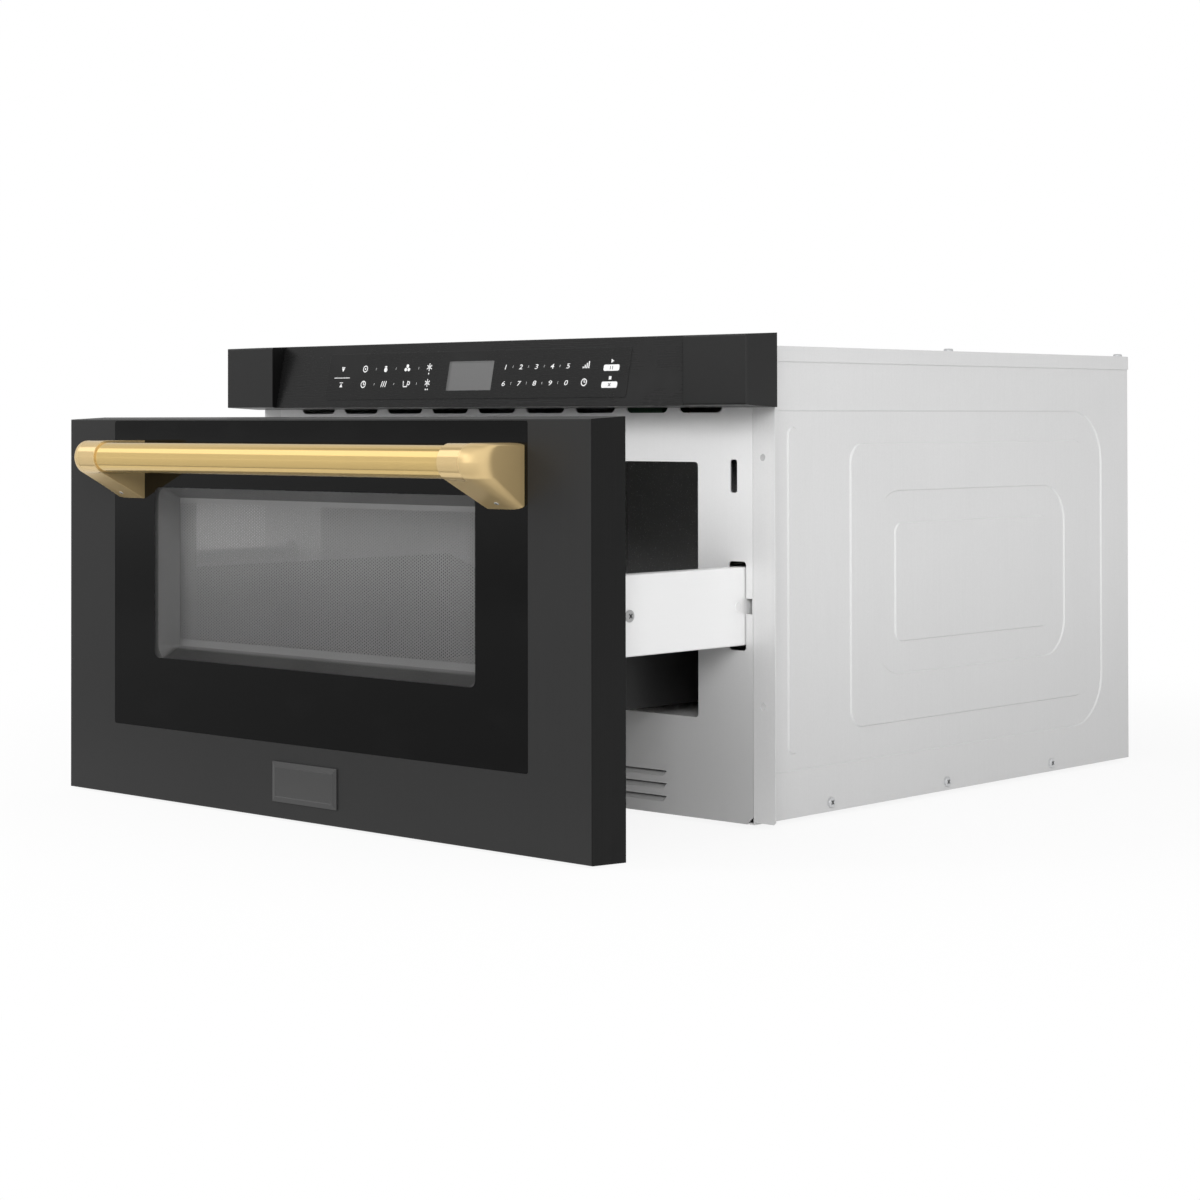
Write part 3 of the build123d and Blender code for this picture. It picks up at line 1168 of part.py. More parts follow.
with BuildPart() as door_frame:
    with BuildSketch(side_plane(-DOOR_W / 2)):
        with BuildLine():
            Polyline(
                (DOOR_Y, DOOR_Z0 + FLARE),
                (DOOR_BACK, DOOR_Z0),
                (DOOR_BACK, DOOR_Z1),
                (DOOR_Y, DOOR_Z1 - FLARE),
                close=True,
            )
        make_face()
    extrude(amount=DOOR_W)
    fillet(door_frame.faces().sort_by(Axis.Y)[0].edges(), SKIN * 0.9)
    with BuildSketch(side_plane(SKIN - DOOR_W / 2)):
        with BuildLine():
            Polyline(
                (DOOR_Y + SKIN, DOOR_Z0 + FLARE + SKIN),
                (DOOR_BACK, DOOR_Z0 + SKIN),
                (DOOR_BACK, DOOR_Z1 - SKIN),
                (DOOR_Y + SKIN, DOOR_Z1 - FLARE - SKIN),
                close=True,
            )
        make_face()
    extrude(amount=DOOR_W - 2 * SKIN, mode=Mode.SUBTRACT)
    glass_hole = (GLASS_W + 2 * GLASS_FIT, GLASS_Z1 - GLASS_Z0 + 2 * GLASS_FIT)
    extrude(
        rectangle(wall_plane(DOOR_Y + SKIN), (0, GLASS_MID_Z), glass_hole, GLASS_R + GLASS_FIT),
        amount=SKIN,
        mode=Mode.SUBTRACT,
    )

BOLT_X = HANDLE_W / 2 - BRACKET_W / 2
with BuildPart() as door_glass:
    pane = rectangle(wall_plane(DOOR_Y + GLASS_T), (0, GLASS_MID_Z), (GLASS_W, GLASS_Z1 - GLASS_Z0), GLASS_R)
    extrude(pane, amount=GLASS_T)
    with BuildSketch(wall_plane(DOOR_Y + GLASS_T)):
        with Locations((0, BOLT_Z)):
            with GridLocations(2 * BOLT_X, BOLT_PITCH, 2, 2):
                Circle(BOLT_R + BOLT_FIT)
    extrude(amount=GLASS_T, mode=Mode.SUBTRACT)

with BuildPart() as glass_support:
    bezel_y = DOOR_Y + GLASS_T + FUNNEL_T
    bezel_low = GLASS_Z0 - BEZEL_EDGE
    bezel_size = (GLASS_W + 2 * BEZEL_EDGE, GLASS_Z1 - bezel_low)
    bezel_mid = (0, (GLASS_Z1 + bezel_low) / 2)
    extrude(rectangle(wall_plane(bezel_y), bezel_mid, bezel_size), amount=bezel_y - DOOR_Y - SKIN)
    tray_size = (bezel_size[0] - 2 * BEZEL_RIM, bezel_size[1] - 2 * BEZEL_RIM)
    tray = rectangle(wall_plane(DOOR_Y + GLASS_T), bezel_mid, tray_size)
    extrude(tray, amount=GLASS_T - SKIN, mode=Mode.SUBTRACT)
    top_rim = (GLASS_Z1 - BEZEL_RIM, GLASS_Z1)
    half = GLASS_W / 2 + GLASS_R
    block((-half, half), (DOOR_Y + SKIN, DOOR_Y + GLASS_T), top_rim, mode=Mode.SUBTRACT)
    funnel_l = SCREEN_IN - GLASS_T
    window = (0, WINDOW_MID_Z)
    back_face = wall_plane(DOOR_Y + GLASS_T)
    outside_size = (WINDOW_W + 2 * FUNNEL_T, WINDOW_H + 2 * FUNNEL_T)
    outside = rectangle(back_face, window, outside_size, FUNNEL_R + FUNNEL_T)
    extrude(outside, amount=-funnel_l, taper=FUNNEL_ANGLE)
    inside = rectangle(back_face, window, (WINDOW_W, WINDOW_H), FUNNEL_R)
    extrude(inside, amount=-funnel_l, taper=FUNNEL_ANGLE, mode=Mode.SUBTRACT)
    with BuildSketch(wall_plane(bezel_y)):
        with Locations((0, BOLT_Z)):
            with GridLocations(2 * BOLT_X, BOLT_PITCH, 2, 2):
                Circle(BOLT_R + BOLT_FIT)
    extrude(amount=FUNNEL_T, mode=Mode.SUBTRACT)

SCREEN_BACK = DOOR_Y + SCREEN_IN + SCREEN_T
with BuildPart() as door_screen:
    screen_size = (WINDOW_W + 2 * SCREEN_EDGE, WINDOW_H + 2 * SCREEN_EDGE)
    extrude(rectangle(wall_plane(SCREEN_BACK), (0, WINDOW_MID_Z), screen_size, WINDOW_R), amount=SCREEN_T)

OPENING = (WINDOW_W - 2 * COLLAR_IN, WINDOW_H - 2 * COLLAR_IN)
CHOKE_IN = (CAVITY_W + 2 * CHOKE_GAP, CAVITY_H + 2 * CHOKE_GAP)
CHOKE_OUT = (CHOKE_IN[0] + 2 * CHOKE_W, CHOKE_IN[1] + 2 * CHOKE_W)
FINGER_COLUMNS = int(CHOKE_IN[0] / FINGER_PITCH) - 1
FINGER_ROWS = int(CHOKE_IN[1] / FINGER_PITCH) - 1

with BuildPart() as door_inner_panel:
    edge_gap = FLARE * INNER_T / DOOR_T + SKIN + GLASS_FIT
    panel_z = (DOOR_Z0 + edge_gap, DOOR_Z1 - edge_gap)
    half = DOOR_W / 2 - SKIN
    block((-half, half), (DOOR_BACK - INNER_T, DOOR_BACK), panel_z)
    box = CHOKE_D + CHOKE_T
    ring = (CHOKE_OUT[0] + 2 * CHOKE_T, CHOKE_OUT[1] + 2 * CHOKE_T)
    core = (CHOKE_IN[0] - 2 * CHOKE_T, CHOKE_IN[1] - 2 * CHOKE_T)
    middle = (0, CAVITY_MID_Z)
    with BuildSketch(wall_plane(DOOR_BACK - INNER_T)):
        with Locations(middle):
            Rectangle(*ring)
            Rectangle(*core, mode=Mode.SUBTRACT)
    extrude(amount=box - INNER_T)
    with BuildSketch(wall_plane(DOOR_BACK)):
        with Locations(middle):
            Rectangle(*CHOKE_OUT)
            Rectangle(*CHOKE_IN, mode=Mode.SUBTRACT)
    extrude(amount=CHOKE_D, mode=Mode.SUBTRACT)
    # slots that cut the choke's inner wall into fingers
    finger_y = DOOR_BACK - CHOKE_D / 2 - INNER_T
    for side in (-1, 1):
        for step in range(FINGER_COLUMNS):
            x = (step - (FINGER_COLUMNS - 1) / 2) * FINGER_PITCH
            with Locations((x, finger_y, CAVITY_MID_Z + side * (CHOKE_IN[1] - CHOKE_T) / 2)):
                Box(FINGER_SLOT, FINGER_DEPTH, CHOKE_T, mode=Mode.SUBTRACT)
        for step in range(FINGER_ROWS):
            z = CAVITY_MID_Z + (step - (FINGER_ROWS - 1) / 2) * FINGER_PITCH
            with Locations((side * (CHOKE_IN[0] - CHOKE_T) / 2, finger_y, z)):
                Box(CHOKE_T, FINGER_DEPTH, FINGER_SLOT, mode=Mode.SUBTRACT)
    extrude(rectangle(wall_plane(DOOR_BACK - INNER_T), (0, WINDOW_MID_Z),
                      (OPENING[0] + 2 * COLLAR_T, OPENING[1] + 2 * COLLAR_T), WINDOW_R),
            amount=DOOR_BACK - INNER_T - SCREEN_BACK)
    extrude(rectangle(wall_plane(DOOR_BACK), (0, WINDOW_MID_Z), OPENING, WINDOW_R - COLLAR_T),
            amount=DOOR_BACK - SCREEN_BACK, mode=Mode.SUBTRACT)

with BuildPart() as choke_cover:
    with BuildSketch(wall_plane(DOOR_BACK + CHOKE_COVER_OUT)):
        with Locations((0, CAVITY_MID_Z)):
            Rectangle(CHOKE_OUT[0] - 2 * GLASS_FIT, CHOKE_OUT[1] - 2 * GLASS_FIT)
            Rectangle(CHOKE_IN[0] + 2 * GLASS_FIT, CHOKE_IN[1] + 2 * GLASS_FIT, mode=Mode.SUBTRACT)
    extrude(amount=CHOKE_COVER_T)
    chamfer(choke_cover.faces().sort_by(Axis.Y)[-1].edges(), CHOKE_COVER_OUT / 2)

with BuildPart() as inner_window:
    pane_size = (OPENING[0] - 2 * GLASS_FIT, OPENING[1] - 2 * GLASS_FIT)
    pane = rectangle(wall_plane(DOOR_BACK), (0, WINDOW_MID_Z), pane_size, WINDOW_R - COLLAR_T)
    extrude(pane, amount=INNER_PANE_T)

# ---------------------------------------------------------------- handle

NOSE = (DOOR_Y - NOSE_OUT, NOSE_Z)
FOOT = (DOOR_Y - BRACKET_FOOT_D, BRACKET_FOOT_Z)
to_foot = (FOOT[0] - NOSE[0], FOOT[1] - NOSE[1])
TANGENT = atan2(to_foot[1], to_foot[0]) - acos(NOSE_R / (to_foot[0] ** 2 + to_foot[1] ** 2) ** 0.5)

with BuildPart() as handle_bracket_right:
    with BuildSketch(side_plane(HANDLE_W / 2 - BRACKET_W)):
        with BuildLine():
            under = (NOSE[0] + NOSE_R * cos(TANGENT), NOSE[1] + NOSE_R * sin(TANGENT))
            crown = (NOSE[0], NOSE_Z + NOSE_R)
            Polyline(under, FOOT, (DOOR_Y, BRACKET_FOOT_Z), (DOOR_Y, NOSE_Z + NOSE_R), crown)
            ThreePointArc(crown, (NOSE[0] - NOSE_R, NOSE_Z), under)
        make_face()
    extrude(amount=BRACKET_W)
    with BuildSketch(Plane.XY.offset(BRACKET_FOOT_Z)):
        with BuildLine():
            Polyline(
                (HANDLE_W / 2 - BRACKET_R, NOSE[0] - NOSE_R),
                (HANDLE_W / 2 - BRACKET_W, NOSE[0] - NOSE_R),
                (HANDLE_W / 2 - BRACKET_W, DOOR_Y),
                (HANDLE_W / 2, DOOR_Y),
                (HANDLE_W / 2, NOSE[0] - NOSE_R + BRACKET_R),
            )
            corner = BRACKET_R * (1 - cos(pi / 4))
            ThreePointArc(
                (HANDLE_W / 2, NOSE[0] - NOSE_R + BRACKET_R),
                (HANDLE_W / 2 - corner, NOSE[0] - NOSE_R + corner),
                (HANDLE_W / 2 - BRACKET_R, NOSE[0] - NOSE_R),
            )
        make_face()
    extrude(amount=NOSE_Z + NOSE_R - BRACKET_FOOT_Z, mode=Mode.INTERSECT)
    outer_face = handle_bracket_right.faces().filter_by(GeomType.PLANE).sort_by(Axis.X)[-1]
    free_edges = outer_face.edges().filter_by(lambda edge: edge.center().Y < DOOR_Y - BRACKET_EDGE_R)
    fillet(free_edges, BRACKET_EDGE_R)
    rod((HANDLE_W / 2 - BRACKET_W, *NOSE), (1, 0, 0), BAR_R + BAR_FIT, BAR_SOCKET, mode=Mode.SUBTRACT)
    for z in (BOLT_Z - BOLT_PITCH / 2, BOLT_Z + BOLT_PITCH / 2):
        rod((BOLT_X, DOOR_Y, z), (0, -1, 0), BOLT_R + SCREW_FIT, BOLT_IN + SHEET, mode=Mode.SUBTRACT)

with BuildPart() as handle_bracket_left:
    mirror(handle_bracket_right.part, about=Plane.YZ)

with BuildPart() as handle_bar:
    bar_half = HANDLE_W / 2 - BRACKET_W + BAR_SOCKET - BAR_FIT
    rod((-bar_half, *NOSE), (1, 0, 0), BAR_R, 2 * bar_half)

handle_bolt = head_screw(BOLT_R, GLASS_T + FUNNEL_T + BOLT_IN, BOLT_HEAD_R, BOLT_HEAD_H)
with BuildPart() as handle_bolts:
    for x in (-BOLT_X, BOLT_X):
        for z in (BOLT_Z - BOLT_PITCH / 2, BOLT_Z + BOLT_PITCH / 2):
            with Locations(Plane(origin=(x, DOOR_Y + GLASS_T + FUNNEL_T, z), z_dir=(0, 1, 0))):
                add(handle_bolt)

# ---------------------------------------------------------------- drawer bin

BIN_REAR = DOOR_BACK + BIN_D
with BuildPart() as drawer_bin:
    with BuildSketch(side_plane(-BIN_W / 2)) as profile:
        with BuildLine():
            Polyline(
                (DOOR_BACK, BIN_Z0),
                (BIN_REAR, BIN_Z0),
                (BIN_REAR, BIN_REAR_Z),
                (BIN_REAR - BIN_SLOPE, BIN_Z1),
                (DOOR_BACK, BIN_Z1),
                close=True,
            )
        make_face()
    extrude(amount=BIN_W)
    inner_half = BIN_W / 2 - BIN_T
    inner_y = (DOOR_BACK, BIN_REAR - BIN_T)
    block((-inner_half, inner_half), inner_y, (BIN_Z0 + BIN_T, BIN_Z1), mode=Mode.SUBTRACT)
    hole_half = BIN_W / 2 - BIN_LIP
    block((-hole_half, hole_half), (DOOR_BACK + BIN_LIP, BIN_REAR - BIN_LIP), (BIN_Z0, BIN_Z0 + BIN_T),
          mode=Mode.SUBTRACT)
    for side in (-1, 1):
        tab = sorted((side * BIN_W / 2, side * (BIN_W / 2 + BIN_TAB)))
        block(tab, (DOOR_BACK, DOOR_BACK + BIN_T), (BIN_Z0, BIN_Z1))

with BuildPart() as floor_tray:
    edge = BIN_T + TRAY_GAP
    tray_size = (BIN_W - 2 * edge, BIN_D - edge - TRAY_GAP)
    tray_mid = (0, (DOOR_BACK + TRAY_GAP + BIN_REAR - edge) / 2)
    extrude(rectangle(Plane.XY.offset(BIN_Z0 + BIN_T), tray_mid, tray_size, TRAY_R), amount=TRAY_T)

# ---------------------------------------------------------------- interlocks

with BuildPart() as interlock_fingers:
    finger_z = (LATCH_Z - LATCH_H / 2, LATCH_Z + LATCH_H / 2)
    block((LATCH_X - LATCH_T / 2, LATCH_X + LATCH_T / 2), (DOOR_BACK, DOOR_BACK + LATCH_L), finger_z)
    chamfer(interlock_fingers.edges().filter_by(Axis.X).group_by(Axis.Y)[-1], LATCH_T)
    foot_x = (LATCH_X - LATCH_FOOT / 2, LATCH_X + LATCH_FOOT / 2)
    foot_z = (LATCH_Z - LATCH_SLOT_H / 2, LATCH_Z + LATCH_SLOT_H / 2)
    block(foot_x, (DOOR_BACK, DOOR_BACK + LATCH_FOOT_T), foot_z)
    mirror(about=Plane.YZ)

SWITCH_Y = FRONT - FACE_OUT + DOOR_T + LATCH_L + SWITCH_GAP     # just behind the closed door's finger
SWITCH_WALL_X = LATCH_X + SWITCH_W / 2
with BuildPart() as interlock_switches:
    for z in (LATCH_Z - SWITCH_H, LATCH_Z + SLIDE_GAP):
        switch_x = (SWITCH_WALL_X - SWITCH_W, SWITCH_WALL_X)
        block(switch_x, (SWITCH_Y + SHEET, SWITCH_Y + SHEET + SWITCH_L), (z, z + SWITCH_H))
        rod((LATCH_X, SWITCH_Y + SHEET, z + SWITCH_H / 2), (0, -1, 0), LATCH_T / 2, SHEET)
    mirror(about=Plane.YZ)

with BuildPart() as interlock_brackets:
    bracket_y = (FRONT + FRONT_T, FRONT + FRONT_T + SWITCH_BRACKET_L)
    bracket_z = (LATCH_Z - SWITCH_BRACKET_H / 2, LATCH_Z + SWITCH_BRACKET_H / 2)
    block((SWITCH_WALL_X, SWITCH_WALL_X + SHEET), bracket_y, bracket_z)
    foot_x = (SWITCH_WALL_X + SHEET, SWITCH_WALL_X + SHEET + SWITCH_H)
    block(foot_x, (bracket_y[0], bracket_y[0] + SHEET), bracket_z)
    mirror(about=Plane.YZ)

# ---------------------------------------------------------------- files

pieces = {
    name: piece
    for name, piece in list(globals().items())
    if isinstance(piece, BuildPart) and name != "blade"
}
for name, piece in pieces.items():
    piece.part.label = name
    export_step(piece.part, f"parts/{name}.step")
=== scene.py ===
"""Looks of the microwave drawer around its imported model. Metres, +Z up, the door faces -Y."""
from math import atan2, cos, pi, radians, sin, tan

import bpy
from mathutils import Matrix, Vector


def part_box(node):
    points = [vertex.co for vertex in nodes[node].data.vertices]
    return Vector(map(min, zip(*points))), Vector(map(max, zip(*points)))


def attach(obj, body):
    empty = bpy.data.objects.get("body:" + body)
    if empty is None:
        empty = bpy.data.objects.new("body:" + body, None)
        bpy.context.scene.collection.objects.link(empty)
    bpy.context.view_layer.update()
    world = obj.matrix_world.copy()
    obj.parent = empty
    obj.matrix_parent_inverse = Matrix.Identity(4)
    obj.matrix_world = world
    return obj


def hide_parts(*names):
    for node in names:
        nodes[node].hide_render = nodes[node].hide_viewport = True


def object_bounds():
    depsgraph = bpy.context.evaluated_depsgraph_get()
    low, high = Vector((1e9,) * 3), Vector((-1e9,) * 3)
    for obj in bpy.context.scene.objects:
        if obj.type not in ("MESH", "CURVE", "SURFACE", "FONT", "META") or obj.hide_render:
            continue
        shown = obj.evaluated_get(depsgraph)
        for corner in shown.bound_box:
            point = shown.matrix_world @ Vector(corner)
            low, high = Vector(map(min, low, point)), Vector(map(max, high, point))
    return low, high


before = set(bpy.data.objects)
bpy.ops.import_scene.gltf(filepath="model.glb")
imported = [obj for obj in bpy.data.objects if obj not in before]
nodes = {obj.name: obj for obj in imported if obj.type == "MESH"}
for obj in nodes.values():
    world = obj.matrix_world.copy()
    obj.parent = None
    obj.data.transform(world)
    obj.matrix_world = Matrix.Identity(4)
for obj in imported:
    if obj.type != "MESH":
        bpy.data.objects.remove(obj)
cad_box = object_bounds()

# ---------------------------------------------------------------- camera

EYE = (1.5502124, -1.8402219, 0.3116136)
YAW, PITCH, ROLL = 0.7404905, 0.0106518, -0.0015370
LENS, SENSOR_W = 78.7493, 36.0
SHIFT_Y = -0.174041

bpy.ops.object.camera_add()
camera = bpy.context.object
aim = Matrix.Rotation(YAW, 4, "Z") @ Matrix.Rotation(pi / 2 + PITCH, 4, "X") @ Matrix.Rotation(ROLL, 4, "Z")
camera.matrix_world = Matrix.Translation(EYE) @ aim
camera.data.lens = LENS
camera.data.sensor_width = SENSOR_W
camera.data.shift_y = SHIFT_Y
bpy.context.scene.camera = camera
bpy.context.scene.view_settings.view_transform = "Standard"


# ---------------------------------------------------------------- finishes

class Signal:
    """An output socket of a node tree. Arithmetic on it adds Math nodes."""

    def __init__(self, tree, socket):
        self.tree = tree
        self.socket = socket

    def __add__(self, other):
        return self.tree.maths("ADD", self, other)

    def __sub__(self, other):
        return self.tree.maths("SUBTRACT", self, other)

    def __mul__(self, other):
        return self.tree.maths("MULTIPLY", self, other)

    def __truediv__(self, other):
        return self.tree.maths("DIVIDE", self, other)

    def __rsub__(self, other):
        return self.tree.maths("SUBTRACT", other, self)

    def __gt__(self, other):
        return self.tree.maths("GREATER_THAN", self, other)

    def __lt__(self, other):
        return self.tree.maths("LESS_THAN", self, other)

    def __abs__(self):
        return self.tree.maths("ABSOLUTE", self)

    __radd__ = __add__
    __rmul__ = __mul__


class Tree:
    """A node tree that is written as expressions."""

    def __init__(self, tree):
        self.tree = tree

    def node(self, kind, settings=None, values=None, output=0):
        """Any node: its settings first, then the values or links of its sockets."""
        made = self.tree.nodes.new("ShaderNode" + kind)
        for name, value in (settings or {}).items():
            setattr(made, name, value)
        for name, value in (values or {}).items():
            self.feed(made.inputs[name], value)
        return Signal(self, made.outputs[output])

    def feed(self, socket, value):
        if isinstance(value, Signal):
            self.tree.links.new(value.socket, socket)
        else:
            socket.default_value = value

    def maths(self, operation, first, second=0.0):
        """A Math node for what the operators of Signal don't cover."""
        return self.node("Math", {"operation": operation}, {0: first, 1: second})

    def mix(self, mask, first, second):
        """Colour that goes from the first to the second as the mask rises."""
        return self.node("Mix", {"data_type": "RGBA"}, {0: mask, 6: first, 7: second}, output=2)

    def soft(self, value, low, high):
        """0 below low, 1 above high, smooth between."""
        settings = {"interpolation_type": "SMOOTHSTEP"}
        return self.node("MapRange", settings, {"Value": value, "From Min": low, "From Max": high})

    def between(self, value, low, high, edge):
        """1 from low to high, 0 outside, smooth over the edge."""
        return self.soft(value, low - edge, low) * (1.0 - self.soft(value, high, high + edge))


class Finish(Tree):
    """A surface finish, on one shader whose inputs vary with the place on the piece."""

    def __init__(self, name):
        self.material = bpy.data.materials.new(name)
        self.material.use_nodes = True
        super().__init__(self.material.node_tree)
        self.shader = self.tree.nodes["Principled BSDF"]

    def place(self, scale=(1, 1, 1)):
        """Place on the piece in metres, stretched where a grain runs along an axis."""
        spot = self.node("TexCoord", output="Object")
        return self.node("Mapping", values={"Vector": spot, "Scale": scale})

    def axes(self):
        """The place's X, Y and Z as three signals."""
        spot = self.place()
        return [self.node("SeparateXYZ", values={0: spot}, output=i) for i in range(3)]

    def noise(self, scale, detail=2.0, stretch=(1, 1, 1)):
        return self.node("TexNoise", values={"Vector": self.place(stretch), "Scale": scale, "Detail": detail})

    def relief(self, height, depth):
        return self.node("Bump", values={"Height": height, "Distance": depth, "Strength": 1.0})

    def dress(self, **inputs):
        for name, value in inputs.items():
            self.feed(self.shader.inputs[name.replace("_", " ")], value)
        return self.material


def grey(level):
    return (level, level, level, 1)


def darkened(colour, share):
    return tuple(part * share for part in colour[:3]) + (1,)


SHADE_LOW, SHADE_HIGH = -0.02, 0.24       # painted shade low down fades out between these heights


def sheet_steel(name, light, dark, roughness, grain, low_shade=0.0):
    """Galvanised sheet: rolling lines along one axis, zinc speckle, faint clouds, marks, painted shade low down.
    """
    finish = Finish(name)
    _, _, z = finish.axes()
    painted_low_shade = (1.0 - finish.soft(z, SHADE_LOW, SHADE_HIGH)) * low_shade
    lines = finish.noise(1.0, 3.0, grain)
    speckle = finish.noise(640.0, 3.0)
    clouds = finish.noise(9.0, 3.0)
    marks = finish.soft(finish.noise(38.0, 6.0), 0.60, 0.78)
    shade = lines * 0.30 + speckle * 0.40 + clouds * 0.30
    clean = finish.mix(shade, grey(dark), grey(light))
    return finish.dress(
        Base_Color=finish.mix(painted_low_shade, clean, grey(0.30)),
        Metallic=0.20,
        Roughness=shade * 0.12 + marks * 0.08 + (roughness - 0.06),
        Normal=finish.relief(speckle, 0.00003),
    )


def black_steel(name, level, grain, shaded_x, streak):
    """Black stainless steel: brushed, with a dark satin coat, faint finger marks and painted shade darkening the
    walls that stand at the given x.
    """
    finish = Finish(name)
    x, _, _ = finish.axes()
    shaded_wall = 1.0 - finish.soft(abs(abs(x) - shaded_x), 0.0003, 0.0005)
    lines = finish.noise(1.0, 4.0, grain)
    broad = finish.noise(6.0, 2.0)
    wiped = finish.soft(finish.noise(24.0, 5.0), 0.55, 0.80)
    finish.shader.inputs["Specular IOR Level"].default_value = 0.26
    brushed = finish.mix(lines * (streak * 4) + broad * 0.4, grey(level * 0.8), grey(level * 1.2))
    return finish.dress(
        Base_Color=finish.mix(shaded_wall, brushed, grey(level * 0.15)),
        Roughness=lines * streak + wiped * 0.07 + shaded_wall * 0.15 + 0.34,
        Normal=finish.relief(lines, 0.00002),
    )


def cast_plastic(name, colour, roughness, grain=900.0):
    """Moulded plastic with an eroded skin."""
    finish = Finish(name)
    fine = finish.noise(grain, 2.0)
    broad = finish.noise(14.0, 2.0)
    return finish.dress(
        Base_Color=finish.mix(broad, darkened(colour, 0.82), colour),
        Roughness=fine * 0.12 + broad * 0.08 + (roughness - 0.1),
        Normal=finish.relief(fine, 0.00006),
    )


def bare_metal(name, colour, roughness, scratch=(1, 1, 1), metallic=1.0):
    """Plated or drawn metal with fine scratches and duller patches."""
    finish = Finish(name)
    scratches = finish.noise(420.0, 4.0, scratch)
    patches = finish.noise(18.0, 3.0)
    return finish.dress(
        Base_Color=finish.mix(patches, darkened(colour, 0.78), colour),
        Metallic=metallic,
        Roughness=scratches * 0.10 + patches * 0.12 + (roughness - 0.1),
        Normal=finish.relief(scratches, 0.00002),
    )


def enamel(name, level, roughness):
    """Baked enamel with a faint orange peel and specks."""
    finish = Finish(name)
    peel = finish.noise(260.0, 2.0)
    speck = finish.soft(finish.noise(900.0, 0.0), 0.70, 0.78)
    broad = finish.noise(7.0, 2.0)
    body = finish.mix(broad, grey(level * 0.85), grey(level * 1.15))
    return finish.dress(
        Base_Color=finish.mix(speck, body, grey(level * 1.8)),
        Roughness=peel * 0.12 + (roughness - 0.06),
        Normal=finish.relief(peel, 0.00008),
    )


def in_rectangle(finish, x, z, half_width, low, high, radius, wider=0.0):
    """1 inside a rounded rectangle that stands in the XZ plane, 0 outside. It grows where wider rises."""
    middle, half_height = (low + high) / 2, (high - low) / 2
    sides = (abs(x) - wider - (half_width - radius), abs(z - middle) - wider - (half_height - radius))
    across, up = (finish.maths("MAXIMUM", side) for side in sides)
    return finish.maths("SQRT", across * across + up * up) < radius


WINDOW_HALF, WINDOW_LOW, WINDOW_HIGH, WINDOW_R = 0.1877, 0.1153, 0.2558, 0.006
BACK_WIDER = 0.006          # the window is this much wider on the glass's back, to show past its thickness
GLASS_FRONT, GLASS_BACK = (corner.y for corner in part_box("door_glass"))


def window_glass():
    """Door glass: black print on its back round a clear window, wiped smears on its face."""
    finish = Finish("door_glass")
    x, y, z = finish.axes()
    back = y > (GLASS_FRONT + GLASS_BACK) / 2
    clear = in_rectangle(finish, x, z, WINDOW_HALF, WINDOW_LOW, WINDOW_HIGH, WINDOW_R, back * BACK_WIDER)
    smears = finish.soft(finish.noise(16.0, 5.0, (1, 1, 2.2)), 0.50, 0.85)
    finish.shader.inputs["Specular IOR Level"].default_value = 0.17
    return finish.dress(
        Base_Color=finish.mix(smears, grey(0.0015), grey(0.003)),
        Roughness=smears * 0.05 + 0.06,
        Alpha=1.0 - clear * 0.88,
    )


COLUMN_PITCH, HOLE_PITCH, HOLE_R = 0.00208, 0.0024, 0.00076
HOLED_HALF, HOLED_LOW, HOLED_HIGH, HOLED_R = 0.179, 0.130, 0.2426, 0.002


def perforated_screen():
    """Etched screen behind the glass: columns of round holes, every other one half a pitch up."""
    finish = Finish("perforated_screen")
    x, _, z = finish.axes()
    column = x / COLUMN_PITCH
    odd = finish.maths("MODULO", finish.maths("FLOOR", column), 2.0)
    across = (finish.maths("FRACT", column) - 0.5) * COLUMN_PITCH
    up = (finish.maths("FRACT", z / HOLE_PITCH + odd * 0.5) - 0.5) * HOLE_PITCH
    hole = across * across + up * up < HOLE_R ** 2
    holed = in_rectangle(finish, x, z, HOLED_HALF, HOLED_LOW, HOLED_HIGH, HOLED_R) * hole
    # painted light: the screen is lighter towards the top and darker low down
    height = finish.soft(z, WINDOW_LOW + 0.02, WINDOW_HIGH)
    broad = finish.noise(10.0, 2.0)
    return finish.dress(
        Base_Color=finish.mix(height * 0.75 + broad * 0.25, grey(0.24), grey(0.46)),
        Metallic=0.35,
        Roughness=broad * 0.10 + 0.38,
        Alpha=1.0 - holed,
    )


def funnel_plastic():
    """Grey moulded frame behind the glass, its lower wall darkened by painted shade."""
    finish = Finish("funnel_grey")
    x, _, z = finish.axes()
    fine = finish.noise(900.0, 2.0)
    broad = finish.noise(14.0, 2.0)
    painted_shade_low_wall = (1.0 - finish.soft(z, WINDOW_LOW + 0.0060, WINDOW_LOW + 0.0085)) * (
        1.0 - finish.soft(abs(x), WINDOW_HALF - 0.010, WINDOW_HALF - 0.004))
    return finish.dress(
        Base_Color=finish.mix(painted_shade_low_wall * 0.85 + broad * 0.15, grey(0.16), grey(0.035)),
        Roughness=fine * 0.12 + broad * 0.08 + 0.36,
        Normal=finish.relief(fine, 0.00006),
    )


def touch_surface(name, level):
    """Black touch glass with faint finger marks."""
    finish = Finish(name)
    smears = finish.soft(finish.noise(22.0, 5.0), 0.52, 0.80)
    grain = finish.noise(1.0, 3.0, (40, 40, 1800))
    finish.shader.inputs["Specular IOR Level"].default_value = 0.26
    return finish.dress(
        Base_Color=finish.mix(smears * 0.5 + grain * 0.5, grey(level * 0.8), grey(level * 1.2)),
        Roughness=smears * 0.08 + grain * 0.06 + 0.24,
    )


COLLAR_X, COLLAR_Z, COLLAR_EDGE = 0.2212, 0.2690, 0.002     # where the brackets' polished collars end


